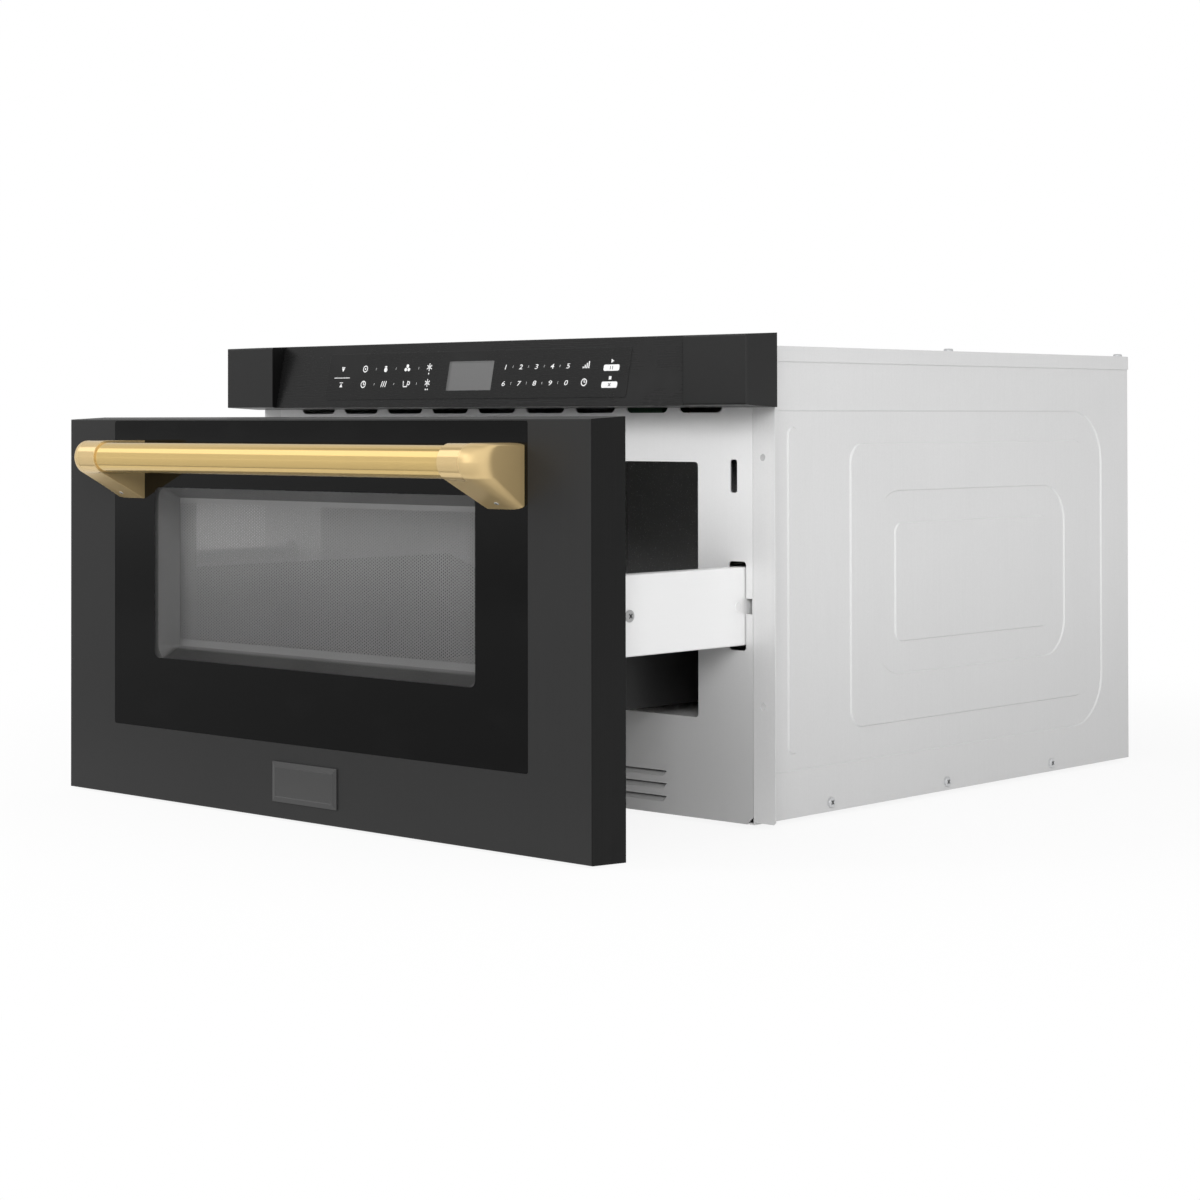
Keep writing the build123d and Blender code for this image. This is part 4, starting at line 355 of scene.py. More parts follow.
def gold_plate(name, colour, metallic, satin_past_collar=False):
    """Gold plate, polished lengthwise, with hairlines and patches dulled by hands, satin past a collar."""
    finish = Finish(name)
    satin = 0.0
    if satin_past_collar:
        x, _, z = finish.axes()
        collar = 1.0 - finish.soft(abs(x), COLLAR_X, COLLAR_X + COLLAR_EDGE)
        satin = 1.0 - collar * finish.soft(z, COLLAR_Z - COLLAR_EDGE, COLLAR_Z)
    hairs = finish.noise(1.0, 4.0, (60, 2600, 2600))
    held = finish.soft(finish.noise(20.0, 4.0), 0.55, 0.85)
    return finish.dress(
        Base_Color=finish.mix(held, colour, darkened(colour, 0.94)),
        Metallic=metallic,
        Roughness=hairs * 0.05 + held * 0.04 + satin * 0.25 + 0.05,
        Normal=finish.relief(hairs, 0.000004),
    )


RAIL_SCREW_BACK = -0.39     # of the rails' fasteners only the front screws lie before this


def rail_rivets():
    """Flush rivets under the rail's white paint, and the bare zinc screw at its front."""
    finish = Finish("rail_rivets")
    _, y, _ = finish.axes()
    zinc_part = y < RAIL_SCREW_BACK
    fine = finish.noise(500.0, 3.0)
    return finish.dress(
        Base_Color=finish.mix(zinc_part, grey(0.74), grey(0.50)),
        Metallic=zinc_part * 0.8,
        Roughness=fine * 0.15 + 0.32,
        Normal=finish.relief(fine, 0.00002),
    )


def ceramic():
    """White glass ceramic, glossy, with faint scuffs."""
    finish = Finish("ceramic_tray")
    scuffs = finish.soft(finish.noise(30.0, 6.0), 0.58, 0.80)
    return finish.dress(
        Base_Color=finish.mix(scuffs, (0.80, 0.79, 0.76, 1), (0.68, 0.67, 0.64, 1)),
        Roughness=scuffs * 0.20 + 0.16,
    )


WIRE_ROWS, CORE_SHEETS = 5200.0, 9000.0     # radians of the pattern for each metre


def windings():
    """Enamelled wire laid in rows."""
    finish = Finish("windings")
    _, _, z = finish.axes()
    rows = finish.maths("SINE", z * WIRE_ROWS) * 0.5 + 0.5
    broad = finish.noise(60.0, 3.0)
    return finish.dress(
        Base_Color=finish.mix(rows * 0.6 + broad * 0.4, (0.20, 0.06, 0.02, 1), (0.55, 0.20, 0.07, 1)),
        Roughness=broad * 0.15 + 0.28,
        Normal=finish.relief(rows, 0.0004),
    )


def laminations():
    """Stacked, varnished core sheets."""
    finish = Finish("laminations")
    _, y, _ = finish.axes()
    sheets = finish.maths("SINE", y * CORE_SHEETS) * 0.5 + 0.5
    broad = finish.noise(40.0, 4.0)
    return finish.dress(
        Base_Color=finish.mix(sheets * 0.5 + broad * 0.5, grey(0.07), grey(0.16)),
        Metallic=0.4,
        Roughness=broad * 0.2 + 0.42,
        Normal=finish.relief(sheets, 0.0002),
    )


def circuit_board():
    """Green lacquered board with tracks."""
    finish = Finish("circuit_board")
    tracks = finish.node("TexBrick", {"offset": 0.5}, {"Vector": finish.place(), "Scale": 160.0}, output="Fac")
    broad = finish.noise(90.0, 3.0)
    green = finish.mix(broad, (0.02, 0.12, 0.05, 1), (0.04, 0.20, 0.09, 1))
    return finish.dress(
        Base_Color=finish.mix(tracks * 0.4, green, (0.20, 0.30, 0.12, 1)),
        Roughness=broad * 0.1 + 0.3,
    )


DISPLAY_HALF, DISPLAY_LOW, DISPLAY_HIGH = 0.0262, 0.3356, 0.3600


def display_face():
    """Grey liquid crystal face with a faint cell grain, and painted shade along its left and upper edges."""
    finish = Finish("display_face")
    cells = finish.noise(1400.0, 1.0)
    x, _, z = finish.axes()
    left = (1.0 - finish.soft(x, -DISPLAY_HALF + 0.001, -DISPLAY_HALF + 0.0042)) * 0.7
    top = finish.soft(z, DISPLAY_HIGH - 0.0022, DISPLAY_HIGH - 0.0008) * 0.4
    return finish.dress(
        Base_Color=finish.mix(left + top + cells * 0.2, grey(0.135), grey(0.075)),
        Roughness=cells * 0.06 + 0.16,
    )


def printed_ink():
    """White printed legend, slightly uneven."""
    finish = Finish("white_print")
    uneven = finish.noise(700.0, 3.0)
    return finish.dress(
        Base_Color=finish.mix(uneven, grey(0.74), grey(0.86)),
        Roughness=uneven * 0.12 + 0.40,
    )


def clear_sheet():
    """Clear inner window with faint cleaning marks."""
    finish = Finish("clear_sheet")
    marks = finish.soft(finish.noise(18.0, 4.0), 0.5, 0.8)
    return finish.dress(
        Base_Color=finish.mix(marks, grey(0.55), grey(0.65)),
        Roughness=marks * 0.1 + 0.06,
        Alpha=marks * 0.04 + 0.08,
    )


PANEL_RECESS_HALF = 0.2403
ROLLED_UP, ROLLED_BACK = (900, 900, 14), (900, 12, 900)             # grain of the pale sheet
BRUSHED_UP, BRUSHED_ACROSS = (1700, 1700, 10), (10, 1700, 1700)     # grain of the black steel

# a sheet's last number is how far painted shade darkens it near the floor
pale_sheet = sheet_steel("galvanised_sheet", 0.78, 0.66, 0.50, ROLLED_UP, 0.26)
front_sheet = sheet_steel("front_plate_sheet", 0.86, 0.78, 0.48, ROLLED_UP, 0.72)
rail_sheet = sheet_steel("rail_sheet", 0.87, 0.83, 0.42, ROLLED_BACK)
# painted shade darkens the door frame's sides and the walls of the panel's recess
frame_black = black_steel("black_steel", 0.019, BRUSHED_UP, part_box("door_frame")[1].x, 0.14)
panel_black = black_steel("black_steel_panel", 0.019, BRUSHED_ACROSS, PANEL_RECESS_HALF, 0.06)
cavity_enamel = enamel("cavity_enamel", 0.52, 0.34)
bin_enamel = enamel("bin_enamel", 0.012, 0.40)
inner_enamel = enamel("inner_enamel", 0.20, 0.40)
black_plastic = cast_plastic("black_plastic", (0.022, 0.022, 0.024, 1), 0.52)
grey_plastic = cast_plastic("grey_plastic", (0.30, 0.30, 0.30, 1), 0.50)
white_plastic = cast_plastic("white_plastic", (0.78, 0.77, 0.73, 1), 0.45)
funnel_grey = funnel_plastic()
zinc = bare_metal("zinc_plate", (0.74, 0.75, 0.76, 1), 0.32, metallic=0.7)
plated = bare_metal("plated_steel", (0.50, 0.50, 0.50, 1), 0.38)
copper = bare_metal("copper", (0.72, 0.40, 0.25, 1), 0.30)
aluminium = bare_metal("aluminium", (0.78, 0.78, 0.79, 1), 0.30)
badge_steel = bare_metal("badge_steel", (0.085, 0.085, 0.085, 1), 0.34, (1, 1, 12), 0.6)
# near-black: painted shade in screw recesses, sockets and the gap round the touch overlay, and the keys' printed
# dark marks
painted_shade_and_print_black = cast_plastic("painted_shade_and_print_black", (0.008, 0.008, 0.008, 1), 0.60)
overlay = touch_surface("touch_overlay", 0.010)
rubber = cast_plastic("rubber", (0.02, 0.02, 0.02, 1), 0.75, 500.0)
rivet_finish = rail_rivets()
gold = gold_plate("polished_gold", (0.76, 0.545, 0.215, 1), 0.72)
bracket_gold = gold_plate("bracket_gold", (0.77, 0.57, 0.28, 1), 0.66, satin_past_collar=True)
glass = window_glass()
screen = perforated_screen()
touch = touch_surface("touch_surface", 0.012)
tray = ceramic()
coil = windings()
core = laminations()
board = circuit_board()
lcd = display_face()
ink = printed_ink()
clear = clear_sheet()

FINISH_OF = {
    pale_sheet: ("side_panel_left", "side_panel_right", "top_cover", "back_panel", "base_plate", "waveguide",
                 "drive_bracket"),
    front_sheet: ("front_plate",),
    rail_sheet: ("drawer_rail_left", "drawer_rail_right"),
    cavity_enamel: ("cavity_liner", "stirrer_well"),
    bin_enamel: ("drawer_bin",),
    inner_enamel: ("door_inner_panel",),
    rivet_finish: ("rail_rivets",),
    frame_black: ("door_frame",),
    panel_black: ("control_panel_housing",),
    black_plastic: ("choke_cover", "panel_back", "fan_shroud", "thermal_cutouts", "interlock_switches",
                    "interlock_fingers"),
    grey_plastic: ("interlock_brackets", "drive_motor", "fan_blade"),
    white_plastic: ("drive_rack", "drive_pinion", "oven_lamp"),
    funnel_grey: ("glass_support",),
    zinc: ("chassis_screws", "slide_mounts", "outer_slides", "middle_slide_right", "middle_slide_left",
           "inner_slides", "handle_bolts"),
    plated: ("stirrer_motor", "magnetron_yoke", "magnetron_filter"),
    copper: ("magnetron_tube",),
    aluminium: ("magnetron_fins", "capacitor", "stirrer"),
    rubber: ("cord_bushing",),
    gold: ("handle_bar",),
    bracket_gold: ("handle_bracket_left", "handle_bracket_right"),
    glass: ("door_glass",),
    screen: ("door_screen",),
    touch: ("touch_glass",),
    tray: ("floor_tray", "stirrer_cover"),
    coil: ("transformer_coils",),
    core: ("transformer_core", "fan_motor"),
    board: ("control_board", "relay_board", "noise_filter"),
    clear: ("inner_window",),
}
for material, names in FINISH_OF.items():
    for name in names:
        nodes[name].data.materials.clear()
        nodes[name].data.materials.append(material)

# ---------------------------------------------------------------- modelling helpers

HAIR = 0.0001               # closer than this is the same place


def deselect():
    """Object mode with nothing selected."""
    if bpy.context.object and bpy.context.object.mode == "EDIT":
        bpy.ops.object.mode_set(mode="OBJECT")
    bpy.ops.object.select_all(action="DESELECT")


def settle(piece):
    """Puts a piece's place into its mesh."""
    deselect()
    piece.select_set(True)
    bpy.context.view_layer.objects.active = piece
    bpy.ops.object.transform_apply(location=True, rotation=True, scale=True)
    return piece


def finished(piece, name, body, material=None):
    """Names a piece, lets it ride on its body and gives it its material, unless its parts have theirs."""
    settle(piece)
    piece.name = piece.data.name = name
    if material:
        piece.data.materials.clear()
        piece.data.materials.append(material)
    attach(piece, body)


def facing(piece, place, normal):
    """Sets a piece that was modelled facing up at a place, facing along the normal."""
    piece.rotation_euler = Vector(normal).to_track_quat("Z", "Y").to_euler()
    piece.location = place
    return settle(piece)


def copied(piece):
    """A copy with its own mesh."""
    deselect()
    piece.select_set(True)
    bpy.context.view_layer.objects.active = piece
    bpy.ops.object.duplicate(linked=False)
    return bpy.context.object


def joined(pieces):
    """One object from several."""
    deselect()
    for piece in pieces:
        piece.select_set(True)
    bpy.context.view_layer.objects.active = pieces[0]
    bpy.ops.object.join()
    return settle(pieces[0])


def nothing_selected(kind):
    """A new primitive is selected all over, so its choice starts empty."""
    bpy.ops.object.mode_set(mode="EDIT")
    bpy.ops.mesh.select_mode(type=kind)
    bpy.ops.mesh.select_all(action="DESELECT")
    bpy.ops.object.mode_set(mode="OBJECT")


def select_faces(piece, test):
    """Edit mode on the faces whose centre and normal pass the test."""
    nothing_selected("FACE")
    for face in piece.data.polygons:
        face.select = test(face.center, face.normal)
    bpy.ops.object.mode_set(mode="EDIT")


def select_edges(piece, test):
    """Edit mode on the edges whose two ends pass the test."""
    nothing_selected("EDGE")
    for edge in piece.data.edges:
        edge.select = test(*(piece.data.vertices[i].co for i in edge.vertices))
    bpy.ops.object.mode_set(mode="EDIT")


def block(centre, size):
    """Box to be shaped further."""
    deselect()
    bpy.ops.mesh.primitive_cube_add(size=1, location=centre)
    made = bpy.context.object
    made.scale = size
    return settle(made)


def rounded_plate(centre, size, corner, edge):
    """Plate that faces -Y, with round corners and a broken front edge."""
    made = block(centre, size)
    select_edges(made, lambda first, second: abs(first.y - second.y) > size[1] / 2)
    bpy.ops.mesh.bevel(offset=corner, segments=5, affect="EDGES")
    bpy.ops.object.mode_set(mode="OBJECT")
    select_faces(made, lambda middle, normal: normal.y < -0.9)
    bpy.ops.mesh.inset(thickness=edge)
    bpy.ops.transform.translate(value=(0, -edge / 2, 0))
    bpy.ops.object.mode_set(mode="OBJECT")
    return made


def disc(place, radius, normal, thickness, sides=32):
    """Round plate with a broken edge, its back at the place, facing along the normal."""
    deselect()
    bpy.ops.mesh.primitive_circle_add(vertices=sides, radius=radius, fill_type="NGON")
    made = bpy.context.object
    bpy.ops.object.mode_set(mode="EDIT")
    bpy.ops.mesh.select_all(action="SELECT")
    for share in (0.6, 0.4):
        bpy.ops.mesh.extrude_region_move(TRANSFORM_OT_translate={"value": (0, 0, thickness * share)})
    bpy.ops.transform.resize(value=(0.88, 0.88, 1))
    bpy.ops.object.mode_set(mode="OBJECT")
    return facing(made, place, normal)


# ---------------------------------------------------------------- badge plate

BADGE_W, BADGE_H, BADGE_Z, BADGE_RISE = 0.075, 0.0316, 0.0271, 0.0011
BADGE_STEPS = ((0.0040, -0.0013), (0.0006, 0.0003))     # width and rise of its sloped border and its sunk field

door_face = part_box("door_frame")[0].y
badge = block((0, door_face - BADGE_RISE / 2, BADGE_Z), (BADGE_W, BADGE_RISE, BADGE_H))
select_faces(badge, lambda middle, normal: normal.y < -0.9)
for width, rise in BADGE_STEPS:
    bpy.ops.mesh.inset(thickness=width)
    bpy.ops.transform.translate(value=(0, rise, 0))
bpy.ops.object.mode_set(mode="OBJECT")
finished(badge, "badge_plate", "drawer", badge_steel)

# ---------------------------------------------------------------- handle brackets

NOSE_R = 0.0137
FOOT_OUT = 0.001            # lower end of the slanted underside, before the door
ROUND_X, ROUND_Y = 0.0150, 0.0205       # outer round, seen from above
DRAWN_TOP, DRAWN_LOW = 0.0020, 0.0030   # how far the outer side draws in
ROUND_STEPS, NOSE_STEPS = 8, 9
NOSE_SHARE = 0.995          # keeps the nose's two rounds from meeting
RIM = 0.0004
SET_SCREW_Z, SET_SCREW_R = 0.2510, 0.0019

bracket_low, bracket_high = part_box("handle_bracket_right")
nose = Vector((0, bracket_low.y + NOSE_R, bracket_high.z - NOSE_R))
foot = Vector((0, bracket_high.y - FOOT_OUT, bracket_low.z))
under_angle = atan2(foot.z - nose.z, foot.y - nose.y)
reach = (foot - nose).length
tangent = under_angle - pi / 2 + atan2(NOSE_R, (reach ** 2 - NOSE_R ** 2) ** 0.5)
outward = Vector((0, cos(tangent), sin(tangent)))
under = nose + outward * NOSE_R
lower_nose = NOSE_R * tan(abs(tangent % (2 * pi) - pi) / 2)


def handle_bracket(name, side):
    """Cast bracket: its side outline first, then the outer side extruded and drawn in step by step."""
    low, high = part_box(name)
    outer, inner = (high.x, low.x) if side > 0 else (low.x, high.x)
    start = outer - side * ROUND_X
    depth, height = high.y - low.y, high.z - low.z
    made = block(((start + inner) / 2, (low.y + high.y) / 2, (low.z + high.z) / 2),
                 (abs(start - inner), depth, height))
    bpy.ops.object.mode_set(mode="EDIT")
    bpy.ops.mesh.select_all(action="SELECT")
    bpy.ops.mesh.bisect(plane_co=under, plane_no=outward, use_fill=True, clear_outer=True)
    bpy.ops.object.mode_set(mode="OBJECT")
    for upper, offset in ((True, NOSE_R), (False, lower_nose)):
        select_edges(made, lambda *ends: all(
            end.y < low.y + HAIR and (end.z > nose.z) == upper for end in ends))
        bpy.ops.mesh.bevel(offset=offset * NOSE_SHARE, segments=NOSE_STEPS, affect="EDGES")
        bpy.ops.object.mode_set(mode="OBJECT")
    select_faces(made, lambda middle, normal: normal.x * side > 0.9)
    still_z = high.z - height * DRAWN_TOP / (DRAWN_TOP + DRAWN_LOW)
    before = (0.0, 1.0, 1.0)
    for step in range(1, ROUND_STEPS + 1):
        turned = step * pi / 2 / ROUND_STEPS
        drawn = 1 - cos(turned)
        now = (sin(turned) * ROUND_X, 1 - drawn * ROUND_Y / depth, 1 - drawn * (DRAWN_TOP + DRAWN_LOW) / height)
        bpy.ops.mesh.extrude_region_move(TRANSFORM_OT_translate={"value": (side * (now[0] - before[0]), 0, 0)})
        bpy.ops.transform.resize(value=(1, now[1] / before[1], now[2] / before[2]),
                                 center_override=(outer, high.y, still_z))
        before = now
    bpy.ops.object.mode_set(mode="OBJECT")
    select_edges(made, lambda *ends: all(abs(end.x - inner) < HAIR / 10 for end in ends)
                 and sum(end.y for end in ends) / 2 < high.y - HAIR)
    bpy.ops.mesh.bevel(offset=RIM, segments=2, affect="EDGES")
    bpy.ops.object.mode_set(mode="OBJECT")
    bpy.ops.object.shade_smooth_by_angle(angle=radians(30))
    made.modifiers.new("flats", "WEIGHTED_NORMAL").keep_sharp = True
    bpy.ops.object.modifier_apply(modifier="flats")
    finished(made, "rounded" + name[len("handle"):], "drawer", bracket_gold)
    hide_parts(name)


for bracket, side in (("handle_bracket_left", -1), ("handle_bracket_right", 1)):
    handle_bracket(bracket, side)

# ---------------------------------------------------------------- set screws of the handle

screw_spot = under.lerp(foot, (under.z - SET_SCREW_Z) / (under.z - foot.z))
set_screws = []
for side in (-1, 1):
    spot = screw_spot + Vector((side * (bracket_low.x + bracket_high.x) / 2, 0, 0))
    head = disc(spot - outward * 0.0002, SET_SCREW_R, outward, 0.0006)
    # the socket is a thin near-black hexagon on the head: painted shade
    socket = disc(spot + outward * 0.0003, SET_SCREW_R * 0.5, outward, 0.00015, 6)
    head.data.materials.append(zinc)
    socket.data.materials.append(painted_shade_and_print_black)
    set_screws += [head, socket]
finished(joined(set_screws), "handle_set_screws", "drawer")

# ---------------------------------------------------------------- driver recesses of the screws

SIDE_SCREW_X, SIDE_SCREW_Z = 0.2793, 0.0073
SIDE_SCREW_Y = (0.0962, 0.2557, 0.4152)
TOP_SCREW_X, TOP_SCREW_Y = 0.2715, (0.2680, 0.5380)
BACK_SCREW_Z = (0.0400, 0.1850, 0.3300)
HEAD_RISE = 0.0022
RAIL_SCREW_HEAD_R = 0.0045
CROSS_L, CROSS_W, CROSS_T = 0.0044, 0.0010, 0.0001

cover_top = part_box("top_cover")[1].z
chassis_front, chassis_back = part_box("front_plate")[0].y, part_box("back_panel")[1].y


def driver_recess():
    """Two crossed grooves, near-black as painted shade, that face up at the origin."""
    grooves = []
    for quarter in (0, 1):
        groove = block((0, 0, 0), (CROSS_L, CROSS_W, CROSS_T))
        select_faces(groove, lambda middle, normal: normal.z > 0.9)
        bpy.ops.mesh.inset(thickness=CROSS_W / 4)
        bpy.ops.transform.translate(value=(0, 0, -CROSS_T / 2))
        bpy.ops.object.mode_set(mode="OBJECT")
        groove.rotation_euler = (0, 0, pi / 4 + quarter * pi / 2)
        grooves.append(settle(groove))
    return joined(grooves)


def cut_recesses(name, body, spots):
    """A driver recess on each screw head, as one piece."""
    first = driver_recess()
    recesses = [copied(first) for _ in spots[1:]] + [first]
    laid = [facing(recess, place, normal) for recess, (place, normal) in zip(recesses, spots)]
    finished(joined(laid), name, body, painted_shade_and_print_black)


spots = []
for side in (-1, 1):
    spots += [((side * SIDE_SCREW_X, chassis_front + y, SIDE_SCREW_Z), (side, 0, 0)) for y in SIDE_SCREW_Y]
    spots += [((side * TOP_SCREW_X, chassis_front + y, cover_top + HEAD_RISE), (0, 0, 1)) for y in TOP_SCREW_Y]
    spots += [((side * TOP_SCREW_X, chassis_back + HEAD_RISE, z), (0, 1, 0)) for z in BACK_SCREW_Z]
cut_recesses("screw_recesses", "chassis", spots)

screws_low, screws_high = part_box("rail_rivets")
rail_screw_y, rail_screw_z = screws_low.y + RAIL_SCREW_HEAD_R, (screws_low.z + screws_high.z) / 2
cut_recesses("rail_screw_recesses", "drawer", [
    ((side * screws_high.x, rail_screw_y, rail_screw_z), (side, 0, 0)) for side in (-1, 1)])

# ---------------------------------------------------------------- control panel print

PANEL_LEAN = atan2(0.0110, 0.0533)
OVERLAY_HALF, OVERLAY_LOW, OVERLAY_HIGH, OVERLAY_GAP = 0.1768, 0.3286, 0.3684, 0.0004
GAP_RISE, OVERLAY_RISE, PRINT_RISE, MARK_RISE, DISPLAY_RISE = 0.0001, 0.0003, 0.00042, 0.00047, 0.0005
ROW_HIGH, ROW_LOW = 0.3545, 0.3410
NUMBER_X, NUMBER_PITCH, NUMBER_H, NUMBER_STRETCH = 0.0399, 0.0176, 0.0042, 1.5
TEXT_SIZE = NUMBER_H * 1.35             # gives figures NUMBER_H high
SYMBOL_X = (-0.1296, -0.1038, -0.0769, -0.0500)
SYMBOL_GAPS = (-0.1158, -0.0910, -0.0630)
DRAWER_KEY_X, EXTRA_X, KEY_X = -0.1580, 0.1302, 0.1578
KEY_W, KEY_H, KEY_DROP = 0.0168, 0.0051, 0.0022
KEY_MARK_R, KEY_MARK_UP = 0.0019, 0.0032
PAUSE_H, PAUSE_ASIDE, STOP_L = 0.0030, 0.0012, 0.0036   # dark marks on the two white keys
ARROW_R, ARROW_BAR, DIVIDER = 0.0022, 0.0042, 0.0200    # the drawer key's arrows and the line between them
LINE, TICK_H = 0.0006, 0.0020
BOLDER = 0.00004            # thickens the figures' strokes
SYMBOL_SCALE = 1.45
SLANT = 0.15

touch_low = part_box("touch_glass")[0]


def on_panel(piece, rise):
    """Lays a piece that was modelled upright in the XZ plane on the leaning touch glass."""
    piece.rotation_euler = (-PANEL_LEAN, 0, 0)
    piece.location = (0, touch_low.y - rise, touch_low.z)
    return settle(piece)


def up_slope(z):
    """Height on the upright model of what stands at z on the leaning glass."""
    return (z - touch_low.z) / cos(PANEL_LEAN)


def stroke(x, z, width, height, turn=0.0):
    """Printed bar, turned about its middle."""
    deselect()
    bpy.ops.mesh.primitive_plane_add(size=1, rotation=(pi / 2, 0, 0))
    made = bpy.context.object
    bpy.ops.object.transform_apply(location=True, rotation=True, scale=True)
    made.scale = (width, 1, height)
    bpy.ops.object.transform_apply(location=True, rotation=True, scale=True)
    bpy.ops.object.mode_set(mode="EDIT")
    bpy.ops.mesh.select_all(action="SELECT")
    bpy.ops.mesh.bevel(offset=min(width, height) * 0.25, segments=2, affect="VERTICES")
    bpy.ops.object.mode_set(mode="OBJECT")
    made.rotation_euler = (0, turn, 0)
    made.location = (x, 0, up_slope(z))
    return settle(made)


def ring(x, z, radius, sides=28):
    """Printed ring, or a printed outline with a few sides."""
    deselect()
    bpy.ops.mesh.primitive_circle_add(vertices=sides, radius=radius, fill_type="NGON", rotation=(pi / 2, 0, 0))
    made = bpy.context.object
    bpy.ops.object.transform_apply(location=True, rotation=True, scale=True)
    select_faces(made, lambda middle, normal: True)
    bpy.ops.mesh.inset(thickness=LINE)
    bpy.ops.mesh.delete(type="FACE")
    bpy.ops.object.mode_set(mode="OBJECT")
    made.location = (x, 0, up_slope(z))
    return settle(made)


def dot(x, z, radius, sides=24, turn=0.0):
    """Printed disc, or a filled shape with a few sides."""
    deselect()
    bpy.ops.mesh.primitive_circle_add(vertices=sides, radius=radius, fill_type="NGON", rotation=(pi / 2, 0, 0))
    made = settle(bpy.context.object)
    made.rotation_euler = (0, turn, 0)
    made.location = (x, 0, up_slope(z))
    return settle(made)


def number(text, x, z):
    """Printed figure, slanted like the rest of the row."""
    deselect()
    bpy.ops.object.text_add(rotation=(pi / 2, 0, 0))
    made = bpy.context.object
    made.data.body = text
    made.data.size = TEXT_SIZE
    made.data.shear = SLANT
    made.data.offset = BOLDER
    made.data.align_x = "CENTER"
    bpy.ops.object.convert(target="MESH")
    made = bpy.context.object
    made.scale = (NUMBER_STRETCH, 1, 1)
    made.location = (x, 0, up_slope(z) - NUMBER_H / 2)
    return settle(made)


def symbol(draw, x, z, *marks):
    """Symbol drawn by the function at its place, then enlarged about it."""
    made = joined(draw(x, z, *marks))
    bpy.ops.transform.resize(value=(SYMBOL_SCALE, 1, SYMBOL_SCALE), center_override=(x, 0, up_slope(z)))
    return settle(made)


def ticks(x, z_values):
    """Thin slanted dividers between keys."""
    return [stroke(x, z, LINE / 2, TICK_H, SLANT) for z in z_values]


def clock(x, z):
    return [ring(x, z, 0.0022), stroke(x, z + 0.0006, LINE, 0.0016), stroke(x + 0.0005, z, 0.0013, LINE)]


def snowflake(x, z, marks):
    rays = [stroke(x, z, LINE, 0.0046, i * pi / 3) for i in range(3)]
    return rays + [dot(x + 0.0016 * (i - (marks - 1) / 2), z - 0.0038, 0.0005, 12) for i in range(marks)]


def steam(x, z):
    return [stroke(x + (i - 1) * 0.0017, z, LINE, 0.0038, 0.25) for i in range(3)]


def cup(x, z):
    sides = [stroke(x - 0.0017, z, LINE, 0.0034, -0.12), stroke(x + 0.0017, z, LINE, 0.0034, 0.12)]
    return sides + [stroke(x, z - 0.0017, 0.0032, LINE), ring(x + 0.0028, z + 0.0003, 0.0012, 16)]


def kernels(x, z):
    return [dot(x - 0.0013, z - 0.0008, 0.0011, 12), dot(x + 0.0013, z - 0.0008, 0.0011, 12),
            dot(x, z + 0.0012, 0.0011, 12)]


def bars(x, z):
    return [stroke(x + (i - 1.5) * 0.0014, z - 0.0014 + i * 0.0005, 0.0008, 0.0010 + i * 0.0010) for i in range(4)]


def drop(x, z):
    return [dot(x, z - 0.0007, 0.0014, 20), dot(x, z + 0.0009, 0.0013, 3, pi)]


def dial(x, z):
    return [ring(x, z, 0.0021), dot(x, z, 0.0006, 12)]


prints = []
for i in range(5):
    x = NUMBER_X + i * NUMBER_PITCH
    prints += [number(str(i + 1), x, ROW_HIGH), number(str((i + 6) % 10), x, ROW_LOW)]
    if i < 4:
        prints += ticks(x + NUMBER_PITCH / 2, (ROW_HIGH, ROW_LOW))
for x in SYMBOL_GAPS:
    prints += ticks(x, (ROW_HIGH + 0.0005, ROW_LOW + 0.0009))
for row, draws in ((ROW_HIGH + 0.0007, (dial, drop, kernels)), (ROW_LOW + 0.0009, (clock, steam, cup))):
    prints += [symbol(draw, x, row) for draw, x in zip(draws, SYMBOL_X)]
prints += [symbol(snowflake, SYMBOL_X[3], z, dots) for z, dots in ((ROW_HIGH + 0.0012, 1), (ROW_LOW + 0.0014, 2))]
prints += [symbol(bars, EXTRA_X, ROW_HIGH + 0.0004), symbol(clock, EXTRA_X, ROW_LOW)]
for z, line_z, turned in ((ROW_HIGH + 0.0006, ROW_HIGH + 0.0024, pi), (ROW_LOW - 0.0002, ROW_LOW + 0.0026, 0)):
    prints += [dot(DRAWER_KEY_X, z, ARROW_R, 3, turned), stroke(DRAWER_KEY_X, line_z, ARROW_BAR, LINE)]
prints += [stroke(DRAWER_KEY_X, (ROW_HIGH + ROW_LOW) / 2, DIVIDER, LINE)]
for z, sides, turned in ((ROW_HIGH, 3, pi / 2), (ROW_LOW, 4, pi / 4)):
    prints += [dot(KEY_X, z + KEY_MARK_UP, KEY_MARK_R, sides, turned), stroke(KEY_X, z - KEY_DROP, KEY_W, KEY_H)]
finished(on_panel(joined(prints), PRINT_RISE), "panel_print", "chassis", ink)

marks = [stroke(KEY_X + aside, ROW_HIGH - KEY_DROP, LINE, PAUSE_H) for aside in (-PAUSE_ASIDE, PAUSE_ASIDE)]
marks += [stroke(KEY_X, ROW_LOW - KEY_DROP, LINE, STOP_L, turned) for turned in (-pi / 4, pi / 4)]
finished(on_panel(joined(marks), MARK_RISE), "key_marks", "chassis", painted_shade_and_print_black)


def panel_plate(name, material, half, low, high, thickness, corner, edge, rise):
    """Thin rounded plate between two heights of the upright model, laid on the touch glass."""
    plate = rounded_plate((0, thickness / 2, (low + high) / 2), (2 * half, thickness, high - low), corner, edge)
    finished(on_panel(plate, rise), name, "chassis", material)


low, high = up_slope(OVERLAY_LOW), up_slope(OVERLAY_HIGH)
panel_plate("touch_overlay", overlay, OVERLAY_HALF, low, high, 0.0003, 0.0020, 0.0002, OVERLAY_RISE)
